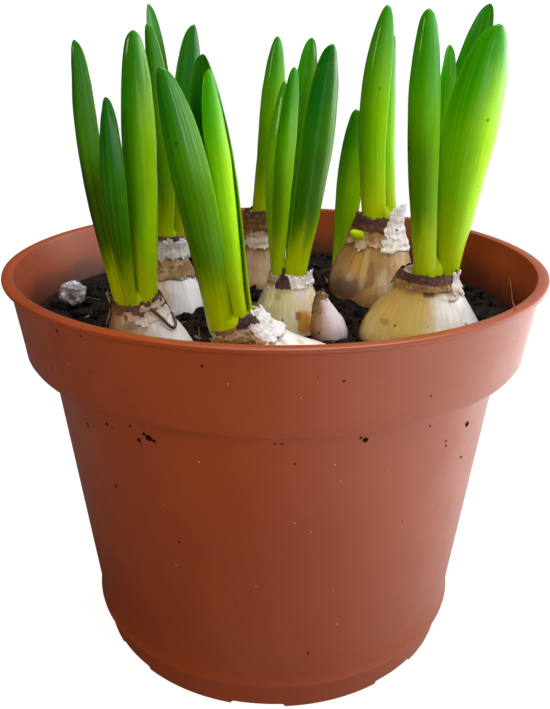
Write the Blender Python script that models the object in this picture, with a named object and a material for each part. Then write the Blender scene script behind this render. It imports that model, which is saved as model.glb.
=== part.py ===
# Potted hyacinth bulbs: seven sprouting bulbs, half buried in compost, in a plastic nursery pot.
# Blender units are metres, +Z is up, and the camera side is -Y. The origin is on the surface that
# the pot stands on, under the middle of the pot. Sizes below are in millimetres and degrees.

import math

import bmesh
import bpy
from mathutils import Matrix, Vector

MM = 0.001
GAP = 0.3  # clearance kept between pieces that touch

# Pot
POT_HEIGHT = 144.0
WALL = 1.6
LIP_RADIUS = 95.0
LIP_DEPTH = 1.8
BAND_TOP_RADIUS = 92.6
BAND_LOW_RADIUS = 89.6
BAND_DEPTH = 28.6
BODY_TOP_RADIUS = 81.6
BODY_LOW_RADIUS = 71.0
RIDGE_RADIUS = 71.6
RIDGE_HEIGHT = 11.4
FOOT_RADIUS = 68.4
FOOT_WALL = 2.6
FLOOR_HEIGHT = 5.0
FEET = 8
FOOT_NOTCH_HEIGHT = 1.5
FOOT_NOTCH_WIDTH = 19.0
FOOT_NOTCH_FROM_FRONT = -4.5  # angle of the notch nearest the camera
DRAIN_HOLE_RADIUS = 4.5
DRAIN_CIRCLE_RADIUS = 52.0
POT_SIDES = 48

# Compost
SOIL_LEVEL = 126.0
SOIL_MOUND = 1.6
SOIL_SIDES = 32

# Bulbs. Each has the place of its widest part, its radius there, the length from there to the
# top of its neck, the neck's radius, and its lean: how far, and towards which side (0 is +X).
# slope says how soon the shoulder draws in: 1.5 is nearly straight, 3 draws in low and leaves a
# long neck. sway moves the neck sideways off the axis, towards the side the bulb leans to.
BULB_SIDES = 14
ROOT_PLATE = 0.86  # depth of the flat underside, as a share of the bulb's radius
BULBS = {
    "front_left": dict(
        at=(-40, -45, 118), radius=16.5, neck=24, neck_radius=7.6, slope=1.6, lean=7, to=190
    ),
    "front": dict(
        at=(5, -57, 112), radius=20, neck=33, neck_radius=7.6, slope=2.6, lean=23, to=186, sway=5
    ),
    "front_right": dict(
        at=(49, -30, 122), radius=21, neck=25, neck_radius=8.6, slope=1.5, lean=2, to=0
    ),
    "back_left": dict(at=(-41, 3, 119), radius=16, neck=32, neck_radius=6.4, slope=2.8, lean=4, to=0),
    "middle": dict(at=(5, -18, 120), radius=13, neck=23, neck_radius=7.4, slope=1.6, lean=1, to=180),
    "back": dict(at=(-4, 40, 121), radius=16, neck=32, neck_radius=6.4, slope=2.4, lean=3, to=180),
    "back_right": dict(
        at=(38, 21, 126), radius=17, neck=28, neck_radius=8.4, slope=1.5, lean=4, to=20
    ),
}

# Dry tunic: the papery collar round each neck, and how far it reaches below and above its top.
TUNIC_SIDES = 12
TUNIC_WALL = 0.7
TUNIC_BELOW = 5.0
TUNIC_ABOVE = 2.0
TUNIC_FLARE = 1.6
TUNIC_TATTER = 1.2

# Leaves. around: the side of the neck that it grows from, and inset: how far in from the neck's
# edge. face: the side its back looks to. root: its width at the base, as a share of its width.
# bend: how far its middle bows off the straight line from base to tip, in X and Y.
LEAF_THICKNESS = 1.9
LEAF_EDGE_THICKNESS = 0.6
LEAF_STATIONS = (0.0, 0.2, 0.5, 0.78, 0.91, 0.975, 1.0)
LEAF_POINTS = 4  # across the back, and again across the hollow side
BASE_CURL = 58  # half angle that the section turns through at the base, the middle and the tip
MIDDLE_CURL = 34
TIP_CURL = 62
LEAVES = {
    "front_left": [
        dict(around=198, tip=(-56.5, -49, 216.5), width=13, root=0.65, face=218, bend=(-3, 0)),
        dict(around=318, inset=2, tip=(-38, -54, 219), width=10, root=0.5, face=280, bend=(0.5, -1)),
        dict(around=30, tip=(-38, -35, 217.5), width=12, root=0.65, face=0, bend=(2, 0)),
        dict(around=266, inset=0.6, tip=(-42.7, -63, 202.5), width=6.5, root=0.5, face=256, bend=(-1, -1)),
    ],
    "front": [
        dict(around=210, inset=0.4, tip=(-30.5, -65, 210), width=12.7, root=0.7, face=253, bend=(0.5, 0)),
        dict(around=324, inset=2, tip=(-17.3, -59, 209.5), width=8, root=0.5, face=300, bend=(0, 0)),
        dict(around=50, tip=(-19.5, -46, 213), width=14, root=0.7, face=55, bend=(0.5, 1)),
    ],
    "front_right": [
        dict(around=250, tip=(42.7, -37, 225.5), width=10, root=0.7, face=258, bend=(-1.2, 0)),
        dict(around=350, tip=(63.5, -37, 221), width=14.5, root=0.37, face=277, bend=(-2.5, 0)),
        dict(around=112, inset=3, tip=(51.5, -24, 216), width=7, root=0.6, face=100, bend=(1, 1)),
        dict(around=60, tip=(66, -14, 228), width=12, root=0.7, face=62, bend=(-1.5, 1)),
    ],
    "back_left": [
        dict(around=125, tip=(-44.5, 11, 228.5), width=9.5, root=0.75, face=140, bend=(1, 0)),
        dict(around=240, tip=(-43, -3, 222), width=9, root=0.75, face=246, bend=(1.5, 0)),
        dict(around=352, tip=(-26.5, 4, 222), width=14, root=0.5, face=320, bend=(1.5, 0)),
    ],
    "middle": [
        dict(around=225, tip=(5, -28, 209.5), width=6.5, root=0.6, face=257, bend=(-1, -1)),
        dict(around=310, tip=(16.5, -20, 215.5), width=13, root=0.65, face=301, bend=(0.5, 0)),
        dict(around=60, tip=(11.5, -6, 218), width=9, root=0.75, face=79, bend=(-1, 1)),
        dict(around=155, tip=(1, -14, 205), width=11, root=0.7, face=195, bend=(-3.5, 1)),
    ],
    "back": [
        dict(around=270, tip=(0, 35, 219), width=9.5, root=0.85, face=262, bend=(0, 0)),
        dict(around=90, tip=(1.5, 47, 206), width=10, root=0.8, face=85, bend=(0, 1)),
    ],
    "back_right": [
        dict(around=235, tip=(37.5, 16, 229), width=10, root=0.95, face=245, bend=(-3, 0)),
        dict(around=10, inset=0.4, tip=(43.5, 25, 219.5), width=12, root=0.7, face=330, bend=(-1, 1)),
    ],
}

# The side shoot behind the back right bulb rises straight from the compost.
SIDE_SHOOT = dict(
    base=(25, 35, 128), tip=(29.3, 30, 193.5), width=10, root=0.5, face=240, bend=(0, 0)
)

# The offset: a small daughter bulb against the middle bulb's right side.
OFFSET_BULB = dict(
    at=(18, -30, 125.5), radius=4.6, neck=8, neck_radius=1.4, slope=1.2, lean=12, to=10
)

# A lump of pumice on the compost by the left wall.
PUMICE_AT = (-75, 0, 129)
PUMICE_SIZE = (8, 8, 9)

# sRGB colours, roughness and metallic value of each material
FINISHES = {
    "pot_plastic": ((156, 84, 60), 0.42, 0.0),
    "compost": ((34, 24, 18), 0.95, 0.0),
    "bulb_skin": ((205, 190, 150), 0.5, 0.0),
    "dry_tunic": ((120, 84, 60), 0.85, 0.0),
    "leaf": ((96, 160, 20), 0.35, 0.0),
    "pumice": ((170, 170, 168), 0.9, 0.0),
}


def clear_scene():
    for thing in list(bpy.data.objects):
        bpy.data.objects.remove(thing, do_unlink=True)


def linear(channel):
    share = channel / 255
    return share / 12.92 if share <= 0.04045 else ((share + 0.055) / 1.055) ** 2.4


def material(name):
    made = bpy.data.materials.get(name)
    if made is None:
        colour, roughness, metallic = FINISHES[name]
        made = bpy.data.materials.new(name)
        made.use_nodes = True
        shader = made.node_tree.nodes["Principled BSDF"]
        shader.inputs["Base Color"].default_value = (*map(linear, colour), 1)
        shader.inputs["Roughness"].default_value = roughness
        shader.inputs["Metallic"].default_value = metallic
    return made


def finish(mesh, name, finish_name, smooth=40):
    # Puts a bmesh in the scene as one named object, with outward faces and soft shading.
    bmesh.ops.recalc_face_normals(mesh, faces=mesh.faces)
    data = bpy.data.meshes.new(name)
    mesh.to_mesh(data)
    mesh.free()
    data.shade_smooth()
    data.set_sharp_from_angle(angle=math.radians(smooth))
    piece = bpy.data.objects.new(name, data)
    bpy.context.scene.collection.objects.link(piece)
    if finish_name:
        data.materials.append(material(finish_name))
    return piece


def turned(outline, sides):
    # Spins an outline of (radius, height) points round the Z axis and closes it on the axis.
    mesh = bmesh.new()
    points = [mesh.verts.new((radius * MM, 0, height * MM)) for radius, height in outline]
    edges = [mesh.edges.new(pair) for pair in zip(points, points[1:])]
    bmesh.ops.spin(
        mesh, geom=points + edges, cent=(0, 0, 0), axis=(0, 0, 1), angle=math.tau, steps=sides,
        use_merge=True,
    )
    bmesh.ops.remove_doubles(mesh, verts=mesh.verts, dist=0.01 * MM)
    return mesh


def arc(centre, radius, start, end, steps):
    # Points on a circle in the outline plane, from one angle to another.
    turn = [math.radians(start + (end - start) * step / steps) for step in range(steps + 1)]
    return [(centre[0] + radius * math.cos(a), centre[1] + radius * math.sin(a)) for a in turn]


def pot_outline():
    # From the underside of the floor, out and up the outside, over the lip and down the inside.
    under_lip = POT_HEIGHT - LIP_DEPTH
    band_low = POT_HEIGHT - BAND_DEPTH
    body_top = band_low - 1.2
    outside = [
        (0, FLOOR_HEIGHT),
        (FOOT_RADIUS - FOOT_WALL, FLOOR_HEIGHT),
        (FOOT_RADIUS - FOOT_WALL, 0),
        (FOOT_RADIUS, 0),
        (FOOT_RADIUS + 0.4, RIDGE_HEIGHT - 0.8),
        (RIDGE_RADIUS - 0.5, RIDGE_HEIGHT - 0.2),
        (RIDGE_RADIUS, RIDGE_HEIGHT + 0.8),
        (BODY_LOW_RADIUS, RIDGE_HEIGHT + 7),
        (BODY_TOP_RADIUS, body_top),
        (BODY_TOP_RADIUS + 5.6, band_low - 0.3),
        *arc((BAND_LOW_RADIUS - 1.6, band_low + 1.6), 1.6, -90, 0, 2),
        (BAND_TOP_RADIUS, under_lip),
        (LIP_RADIUS - 0.5, under_lip + 0.1),
        (LIP_RADIUS, under_lip + 0.7),
        (LIP_RADIUS, POT_HEIGHT - 0.6),
        (LIP_RADIUS - 0.6, POT_HEIGHT),
    ]
    inside = [
        (BAND_TOP_RADIUS - WALL + 0.5, POT_HEIGHT),
        (BAND_TOP_RADIUS - WALL, POT_HEIGHT - 0.6),
        (BAND_LOW_RADIUS - WALL, band_low + WALL),
        (BODY_TOP_RADIUS - WALL, body_top + WALL),
        (BODY_LOW_RADIUS - WALL, RIDGE_HEIGHT + 7),
        (FOOT_RADIUS - WALL, RIDGE_HEIGHT),
        (FOOT_RADIUS - WALL - 1.5, FLOOR_HEIGHT + WALL),
        (0, FLOOR_HEIGHT + WALL),
    ]
    return outside + inside


def cutter(mesh, name):
    tool = finish(mesh, name, None)
    tool.hide_render = True
    tool.hide_viewport = True
    tool.display_type = "WIRE"
    return tool


def cut(piece, tool):
    step = piece.modifiers.new(tool.name, "BOOLEAN")
    step.operation = "DIFFERENCE"
    step.solver = "EXACT"
    step.object = tool


def round_the_pot(count, radius, first):
    # Places round the pot's axis, starting at an angle measured from the camera side.
    for number in range(count):
        angle = math.radians(first - 90 + 360 * number / count)
        yield number, angle, Vector((radius * math.cos(angle), radius * math.sin(angle), 0)) * MM


def build_pot():
    pot = finish(turned(pot_outline(), POT_SIDES), "pot", "pot_plastic")
    tools = bmesh.new()
    for _, angle, place in round_the_pot(FEET, FOOT_RADIUS, FOOT_NOTCH_FROM_FRONT):
        size = Matrix.Diagonal((12 * MM, FOOT_NOTCH_WIDTH * MM, 2 * FOOT_NOTCH_HEIGHT * MM, 1))
        at = Matrix.Translation(place) @ Matrix.Rotation(angle, 4, "Z") @ size
        bmesh.ops.create_cube(tools, size=1, matrix=at)
    cut(pot, cutter(tools, "foot_notch_cutter"))
    holes = bmesh.new()
    for _, _, place in round_the_pot(FEET, DRAIN_CIRCLE_RADIUS, FOOT_NOTCH_FROM_FRONT):
        at = Matrix.Translation(place + Vector((0, 0, FLOOR_HEIGHT * MM)))
        bmesh.ops.create_cone(
            holes, cap_ends=True, segments=12, radius1=DRAIN_HOLE_RADIUS * MM,
            radius2=DRAIN_HOLE_RADIUS * MM, depth=6 * MM, matrix=at,
        )
    cut(pot, cutter(holes, "drain_hole_cutter"))


def shoulder_radius(bulb, height):
    # The bulb's radius at a height above its widest part.
    neck, slim = bulb["neck"], bulb["neck_radius"]
    if height >= neck:
        return slim
    return slim + (bulb["radius"] - slim) * math.cos(math.pi / 2 * height / neck) ** bulb["slope"]


def bulb_outline(bulb, grow=0.0):
    # A round underside on a flat root plate, then a shoulder that draws in to the neck.
    radius, neck = bulb["radius"], bulb["neck"]
    plate = -ROOT_PLATE * radius
    low = [plate * math.cos(math.pi / 2 * step / 4) for step in range(4)]
    rounded = [(math.sqrt(radius**2 - height**2), height) for height in low]
    high = [neck * step / 6 for step in range(7)]
    side = rounded + [(shoulder_radius(bulb, height), height) for height in high]
    side = [(width + grow, height) for width, height in side]
    return [(0, plate - grow), (side[0][0], plate - grow), *side[1:], (0, neck)]


def bulb_frame(bulb):
    # The matrix that stands a bulb, modelled on the Z axis, in its place and leans it.
    turn = Matrix.Rotation(math.radians(bulb["to"]), 4, "Z")
    lean = Matrix.Rotation(math.radians(bulb["lean"]), 4, "Y")
    return Matrix.Translation(Vector(bulb["at"]) * MM) @ turn @ lean @ turn.inverted()


def swayed(bulb, point):
    # The point, in millimetres on the bulb's own axis, moved sideways by the sway at its height.
    share = min(max(point.z / bulb["neck"], 0), 1)
    offset = bulb.get("sway", 0) * share**2 * (3 - 2 * share)
    turn = math.radians(bulb["to"])
    return point + Vector((math.cos(turn), math.sin(turn), 0)) * offset


def stand_on_bulb(mesh, bulb):
    for vert in mesh.verts:
        vert.co = swayed(bulb, vert.co / MM) * MM
    bmesh.ops.transform(mesh, matrix=bulb_frame(bulb), verts=mesh.verts)


def build_bulb(name, bulb, grow=0.0):
    mesh = turned(bulb_outline(bulb, grow), BULB_SIDES)
    stand_on_bulb(mesh, bulb)
    return cutter(mesh, name) if grow else finish(mesh, name, "bulb_skin")


def build_tunic(name, bulb, seed):
    # A papery sleeve over the neck. Its lower end lies on the shoulder and its top edge is torn.
    neck = bulb["neck"]
    heights = [neck - TUNIC_BELOW, neck - TUNIC_BELOW / 2, neck, neck + TUNIC_ABOVE]
    clear = [GAP + 0.5, GAP + 0.5, GAP + 0.6, GAP + TUNIC_FLARE]
    inner = [(shoulder_radius(bulb, h) + c, h) for h, c in zip(heights, clear)]
    outer = [(radius + TUNIC_WALL, height) for radius, height in inner]
    mesh = turned(inner + outer[::-1] + inner[:1], TUNIC_SIDES)
    for vert in mesh.verts:
        angle = math.atan2(vert.co.y, vert.co.x)
        share = (vert.co.z / MM - heights[0]) / (heights[-1] - heights[0])
        torn = math.sin(3 * angle + seed) + 0.6 * math.sin(7 * angle + 2.3 * seed)
        vert.co.z += TUNIC_TATTER * torn * (share - 0.5) * MM
    stand_on_bulb(mesh, bulb)
    return finish(mesh, name, "dry_tunic")


def leaf_width(share, root):
    # Narrow at the neck, widest past the middle, and blunt at the tip.
    rise = root + (1 - root) * math.sin(math.pi / 2 * min(share / 0.66, 1))
    fall = math.sqrt(max(0.0, 1 - (max(share - 0.6, 0) / 0.405) ** 2.2))
    return rise * fall


def leaf_curl(share):
    if share < 0.5:
        return BASE_CURL + (MIDDLE_CURL - BASE_CURL) * (share / 0.5) ** 0.7
    return MIDDLE_CURL + (TIP_CURL - MIDDLE_CURL) * ((share - 0.5) / 0.5) ** 3


def leaf_section(width, curl, thickness):
    # A crescent: across the back from edge to edge, then across the hollow side and home.
    half = math.radians(curl)
    bend = width / 2 / math.sin(half)
    back = []
    hollow = []
    for number in range(LEAF_POINTS):
        across = 2 * number / (LEAF_POINTS - 1) - 1
        deep = LEAF_EDGE_THICKNESS + (thickness - LEAF_EDGE_THICKNESS) * (1 - across**2)
        deep = min(deep, 0.45 * width)
        side, depth = math.sin(across * half), math.cos(across * half)
        back.append((bend * side, bend * (depth - 1)))
        inside = bend - deep
        hollow.append((inside * side, inside * depth - bend))
    return back + hollow[::-1]


def build_leaf(name, base, lift, tip, width, root, face, bend):
    # Sections along a bowed spine, each facing its own side, joined into one closed strip.
    base, tip = Vector(base), Vector(tip)
    middle = (base + tip) / 2 + 2 * Vector((*bend, 0))
    middle += lift * (tip - base).length * 0.12
    facing = Vector((math.cos(math.radians(face)), math.sin(math.radians(face)), 0))
    mesh = bmesh.new()
    rings = []
    for share in LEAF_STATIONS:
        place = base * (1 - share) ** 2 + middle * 2 * share * (1 - share) + tip * share**2
        along = ((middle - base) * (1 - share) + (tip - middle) * share).normalized()
        along = along if share else lift
        out = (facing - facing.dot(along) * along).normalized()
        across = along.cross(out)
        size = width * max(leaf_width(share, root), 0.12)
        section = leaf_section(size, leaf_curl(share), LEAF_THICKNESS * (1.15 - 0.45 * share))
        ring = [mesh.verts.new((place + across * x + out * y) * MM) for x, y in section]
        rings.append(ring)
    for low, high in zip(rings, rings[1:]):
        for number in range(len(low)):
            after = (number + 1) % len(low)
            mesh.faces.new((low[number], low[after], high[after], high[number]))
    for end in (rings[0], rings[-1]):
        pairs = len(end) // 2
        for number in range(pairs - 1):
            mesh.faces.new((end[number], end[number + 1], end[-2 - number], end[-1 - number]))
    return finish(mesh, name, "leaf", 50)


def build_leaves(place, bulb):
    # The leaves stand in a ring on the neck, their backs to the outside.
    frame = bulb_frame(bulb)
    axis = (frame.to_3x3() @ Vector((0, 0, 1))).normalized()
    for number, leaf in enumerate(LEAVES[place], 1):
        turn = math.radians(leaf["around"])
        ring = bulb["neck_radius"] - 1.4 - leaf.get("inset", 0)
        spot = Vector((ring * math.cos(turn), ring * math.sin(turn), bulb["neck"] + GAP))
        base = frame @ (swayed(bulb, spot) * MM) / MM
        shape = {key: leaf[key] for key in ("tip", "width", "root", "face", "bend")}
        build_leaf(f"leaf_{place}_{number}", base, axis, **shape)


def build_soil(tools):
    # A plug that fills the pot to below the lip, with a low mound and a hollow for each bulb.
    band_low = POT_HEIGHT - BAND_DEPTH
    floor = FLOOR_HEIGHT + WALL + GAP
    slope = (BAND_TOP_RADIUS - BAND_LOW_RADIUS) / BAND_DEPTH
    brim = BAND_LOW_RADIUS - WALL - GAP + slope * (SOIL_LEVEL - band_low) - 0.2
    side = [
        (0, floor),
        (FOOT_RADIUS - WALL - 1.8 - GAP, floor),
        (FOOT_RADIUS - WALL - GAP - 0.2, RIDGE_HEIGHT),
        (BODY_LOW_RADIUS - WALL - GAP - 0.2, RIDGE_HEIGHT + 7),
        (BODY_TOP_RADIUS - WALL - GAP - 0.2, band_low + WALL - 1.0),
        (BAND_LOW_RADIUS - WALL - GAP - 0.4, band_low + WALL + GAP + 0.2),
        (brim, SOIL_LEVEL),
    ]
    top = [(brim * step / 6, SOIL_LEVEL) for step in range(5, -1, -1)]
    mesh = turned(side + top, SOIL_SIDES)
    for vert in mesh.verts:
        if vert.co.z > (SOIL_LEVEL - 0.1) * MM and vert.co.xy.length < (brim - 1) * MM:
            x, y = vert.co.x / MM, vert.co.y / MM
            waves = math.sin(x / 9) * math.cos(y / 11) + math.sin((x + 2 * y) / 17)
            vert.co.z += SOIL_MOUND * (0.4 + 0.6 * waves) * MM
    soil = finish(mesh, "potting_soil", "compost")
    for tool in tools:
        cut(soil, tool)


def build_pumice(grow=0.0):
    mesh = bmesh.new()
    bmesh.ops.create_icosphere(mesh, subdivisions=2, radius=0.5)
    for vert in mesh.verts:
        lump = 1 + 0.12 * math.sin(9 * vert.co.x + 4 * vert.co.z) * math.cos(7 * vert.co.y)
        vert.co = Vector([c * lump * (s + 2 * grow) for c, s in zip(vert.co, PUMICE_SIZE)]) * MM
    bmesh.ops.translate(mesh, vec=Vector(PUMICE_AT) * MM, verts=mesh.verts)
    return cutter(mesh, "pumice_cutter") if grow else finish(mesh, "pumice_lump", "pumice")


def main():
    clear_scene()
    build_pot()
    hollows = []
    for number, (place, bulb) in enumerate(BULBS.items()):
        build_bulb(f"bulb_{place}", bulb)
        hollows.append(build_bulb(f"{place}_cutter", bulb, grow=GAP))
        build_tunic(f"tunic_{place}", bulb, seed=1.7 * number)
        build_leaves(place, bulb)
    build_bulb("offset_bulb", OFFSET_BULB)
    hollows.append(build_bulb("offset_cutter", OFFSET_BULB, grow=GAP))
    build_leaf("side_shoot", lift=Vector((0, 0, 1)), **SIDE_SHOOT)
    build_pumice()
    hollows.append(build_pumice(grow=GAP))
    build_soil(hollows)


main()
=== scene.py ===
# Hyacinth bulbs sprouting in a nursery pot: the looks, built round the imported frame.
import math
import random

import bpy
from mathutils import Matrix, Vector, noise


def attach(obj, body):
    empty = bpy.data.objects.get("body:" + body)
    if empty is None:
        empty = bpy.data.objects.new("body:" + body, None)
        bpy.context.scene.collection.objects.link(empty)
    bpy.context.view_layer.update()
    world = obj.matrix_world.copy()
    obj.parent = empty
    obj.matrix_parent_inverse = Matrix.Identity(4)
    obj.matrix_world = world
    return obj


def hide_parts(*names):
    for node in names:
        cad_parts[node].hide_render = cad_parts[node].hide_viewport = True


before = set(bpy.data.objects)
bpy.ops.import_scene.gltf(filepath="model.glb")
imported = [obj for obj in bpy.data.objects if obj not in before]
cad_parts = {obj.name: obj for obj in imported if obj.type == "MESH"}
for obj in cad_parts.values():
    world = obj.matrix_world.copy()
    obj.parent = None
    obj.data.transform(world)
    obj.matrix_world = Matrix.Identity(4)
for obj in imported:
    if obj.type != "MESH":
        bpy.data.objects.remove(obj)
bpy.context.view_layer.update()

mm = 0.001
print("frame loaded:", len(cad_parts), "nodes")


# small moves used on every piece

def letGo():
    # object mode, nothing selected
    if bpy.context.object and bpy.context.object.mode == "EDIT":
        bpy.ops.object.mode_set(mode="OBJECT")
    bpy.ops.object.select_all(action="DESELECT")


def takeUp(piece):
    letGo()
    piece.select_set(True)
    bpy.context.view_layer.objects.active = piece


def pickVerts(piece, wanted):
    # selects, in edit mode, only the vertices whose place passes the test
    bpy.ops.object.mode_set(mode="OBJECT")
    for polygon in piece.data.polygons:
        polygon.select = False
    for edge in piece.data.edges:
        edge.select = False
    for vert in piece.data.vertices:
        vert.select = wanted(vert.co)
    bpy.ops.object.mode_set(mode="EDIT")


def pickFaces(piece, wanted):
    # selects, in edit mode, only the faces whose centre passes the test
    bpy.ops.mesh.select_mode(type="FACE")
    bpy.ops.mesh.select_all(action="DESELECT")
    bpy.ops.object.mode_set(mode="OBJECT")
    for polygon in piece.data.polygons:
        polygon.select = wanted(polygon.center)
    bpy.ops.object.mode_set(mode="EDIT")


def fray(amount, seed):
    # shakes the vertices of every open edge
    bpy.ops.mesh.select_mode(type="VERT")
    bpy.ops.mesh.select_all(action="SELECT")
    bpy.ops.mesh.region_to_loop()
    bpy.ops.mesh.select_mode(type="VERT")
    bpy.ops.transform.vertex_random(offset=amount * mm, uniform=0, normal=0, seed=seed)


def startRing(name, radius, height, sides):
    letGo()
    bpy.ops.mesh.primitive_circle_add(vertices=sides, radius=radius * mm)
    piece = bpy.context.object
    piece.name = piece.data.name = name
    bpy.ops.object.mode_set(mode="EDIT")
    bpy.ops.mesh.select_mode(type="VERT")
    bpy.ops.mesh.select_all(action="SELECT")
    bpy.ops.transform.translate(value=(0, 0, height * mm))
    return piece


def raiseRings(rings):
    # extrudes the open ring through each (radius, height, x, y) and resizes it there
    for before, now in zip(rings, rings[1:]):
        step = [(now[n] - before[n]) * mm for n in (2, 3, 1)]
        bpy.ops.mesh.extrude_region_move(TRANSFORM_OT_translate={"value": step})
        size = now[0] / before[0]
        spot = (now[2] * mm, now[3] * mm, now[1] * mm)
        bpy.ops.transform.resize(value=(size, size, 1), center_override=spot)


def closeEnds():
    bpy.ops.mesh.select_all(action="SELECT")
    bpy.ops.mesh.fill_holes(sides=0)
    bpy.ops.mesh.select_all(action="SELECT")
    bpy.ops.mesh.normals_make_consistent(inside=False)
    bpy.ops.object.mode_set(mode="OBJECT")


def refine(piece, kind, **values):
    # adds a modifier and applies it
    takeUp(piece)
    step = piece.modifiers.new(kind.lower(), kind)
    for key, value in values.items():
        setattr(step, key, value)
    bpy.ops.object.modifier_apply(modifier=step.name)


def smoothUp(piece, levels):
    refine(piece, "SUBSURF", levels=levels, render_levels=levels)


def cloudBumps(piece, name, size, strength, group="", kind="CLOUDS"):
    texture = bpy.data.textures.new(name, kind)
    texture.noise_scale = size * mm
    refine(
        piece, "DISPLACE", texture=texture, strength=strength * mm, mid_level=0.5,
        vertex_group=group, texture_coords="LOCAL",
    )
    bpy.data.textures.remove(texture)


def putInPlace(piece, place):
    takeUp(piece)
    piece.matrix_world = place
    bpy.ops.object.transform_apply(location=True, rotation=True, scale=True)


def finishPiece(piece, finish, slotName, *nodes, sharp=None):
    takeUp(piece)
    if sharp is None:
        bpy.ops.object.shade_smooth()
    else:
        bpy.ops.object.shade_smooth_by_angle(angle=math.radians(sharp))
    piece.data.materials.clear()
    piece.data.materials.append(finish)
    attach(piece, "root")
    if nodes:
        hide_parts(*nodes)
    return piece


def joinAll(pieces, name):
    letGo()
    for piece in pieces:
        piece.select_set(True)
    bpy.context.view_layer.objects.active = pieces[0]
    bpy.ops.object.join()
    pieces[0].name = pieces[0].data.name = name
    return pieces[0]


def keepNumber(piece, name, values):
    layer = piece.data.attributes.new(name, "FLOAT", "POINT")
    layer.data.foreach_set("value", values)


# what every material is laid out with

def linear(*colour):
    shares = [channel / 255 for channel in colour]
    return [s / 12.92 if s <= 0.04045 else ((s + 0.055) / 1.055) ** 2.4 for s in shares] + [1]


class Bench:
    # lays nodes out in one tree and joins them by name
    def __init__(self, tree):
        self.tree = tree
        self.count = 0

    def add(self, kind, inputs=None, **settings):
        node = self.tree.nodes.new(kind)
        node.location = (180 * (self.count % 12), -260 * (self.count // 12))
        self.count += 1
        for key, value in settings.items():
            setattr(node, key, value)
        for key, value in (inputs or {}).items():
            socket = node.inputs[key]
            if isinstance(value, bpy.types.NodeSocket):
                self.tree.links.new(value, socket)
            else:
                socket.default_value = value
        return node

    def maths(self, operation, a, b=0.0, c=0.0, clamp=False):
        node = self.add("ShaderNodeMath", {0: a, 1: b, 2: c}, operation=operation, use_clamp=clamp)
        return node.outputs[0]

    def mix(self, share, a, b, kind="MIX"):
        node = self.add(
            "ShaderNodeMix", {"Factor": share, 6: a, 7: b}, data_type="RGBA", blend_type=kind
        )
        return node.outputs[2]

    def choose(self, share, a, b):
        return self.add("ShaderNodeMix", {"Factor": share, 2: a, 3: b}, data_type="FLOAT").outputs[0]

    def span(self, value, low, high, toLow=0.0, toHigh=1.0):
        node = self.add(
            "ShaderNodeMapRange",
            {"Value": value, "From Min": low, "From Max": high, "To Min": toLow, "To Max": toHigh},
            interpolation_type="SMOOTHSTEP",
        )
        return node.outputs[0]

    def number(self, name):
        return self.add("ShaderNodeAttribute", attribute_name=name).outputs["Fac"]

    def place(self):
        return self.add("ShaderNodeTexCoord").outputs["Object"]

    def noise(self, vector, scale, detail=3.0, rough=0.55, twist=0.0):
        return self.add(
            "ShaderNodeTexNoise",
            {"Vector": vector, "Scale": scale, "Detail": detail, "Roughness": rough, "Distortion": twist},
        ).outputs["Fac"]

    def stretch(self, vector, size, shift=(0, 0, 0)):
        return self.add(
            "ShaderNodeMapping", {"Vector": vector, "Scale": size, "Location": shift}
        ).outputs[0]

    def vector(self, x, y, z):
        return self.add("ShaderNodeCombineXYZ", {0: x, 1: y, 2: z}).outputs[0]

    def vectorMaths(self, operation, a, b=(0, 0, 0)):
        return self.add("ShaderNodeVectorMath", {0: a, 1: b}, operation=operation).outputs

    def bump(self, height, distance, strength=1.0):
        return self.add(
            "ShaderNodeBump", {"Height": height, "Distance": distance, "Strength": strength}
        ).outputs[0]


def newGroup(name, inputs, outputs):
    tree = bpy.data.node_groups.new(name, "ShaderNodeTree")
    for label, kind, value in inputs:
        socket = tree.interface.new_socket(label, in_out="INPUT", socket_type=kind)
        if value is not None:
            socket.default_value = value
    for label, kind in outputs:
        tree.interface.new_socket(label, in_out="OUTPUT", socket_type=kind)
    bench = Bench(tree)
    return tree, bench, bench.add("NodeGroupInput").outputs, bench.add("NodeGroupOutput").inputs


def makeSpeckles():
    # round specks of many sizes: a mask, 1 inside a speck
    tree, bench, given, put = newGroup(
        "speckles",
        [("Vector", "NodeSocketVector", None), ("Scale", "NodeSocketFloat", 300.0),
         ("Amount", "NodeSocketFloat", 0.2)],
        [("Mask", "NodeSocketFloat")],
    )
    cells = bench.add(
        "ShaderNodeTexVoronoi", {"Vector": given["Vector"], "Scale": given["Scale"], "Randomness": 1.0}
    )
    grain = bench.add("ShaderNodeSeparateColor", {0: cells.outputs["Color"]}).outputs
    reach = bench.maths("MULTIPLY", grain[1], 0.28)
    inside = bench.maths("SUBTRACT", reach, cells.outputs["Distance"])
    inside = bench.span(inside, 0.0, 0.05)
    chosen = bench.maths("LESS_THAN", grain[0], given["Amount"])
    tree.links.new(bench.maths("MULTIPLY", inside, chosen), put["Mask"])
    return tree


def makeFibres():
    # long fine lines, drawn out along the vector's Z
    tree, bench, given, put = newGroup(
        "fibres",
        [("Vector", "NodeSocketVector", None), ("Count", "NodeSocketFloat", 30.0),
         ("Length", "NodeSocketFloat", 1.0)],
        [("Lines", "NodeSocketFloat"), ("Bands", "NodeSocketFloat")],
    )
    size = bench.vector(given["Count"], given["Count"], given["Length"])
    drawn = bench.vectorMaths("MULTIPLY", given["Vector"], size)[0]
    fine = bench.noise(drawn, 1.0, 2.0, 0.6)
    broad = bench.noise(drawn, 0.28, 1.0, 0.5)
    tree.links.new(bench.span(fine, 0.35, 0.65), put["Lines"])
    tree.links.new(bench.span(broad, 0.36, 0.64), put["Bands"])
    return tree


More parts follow.
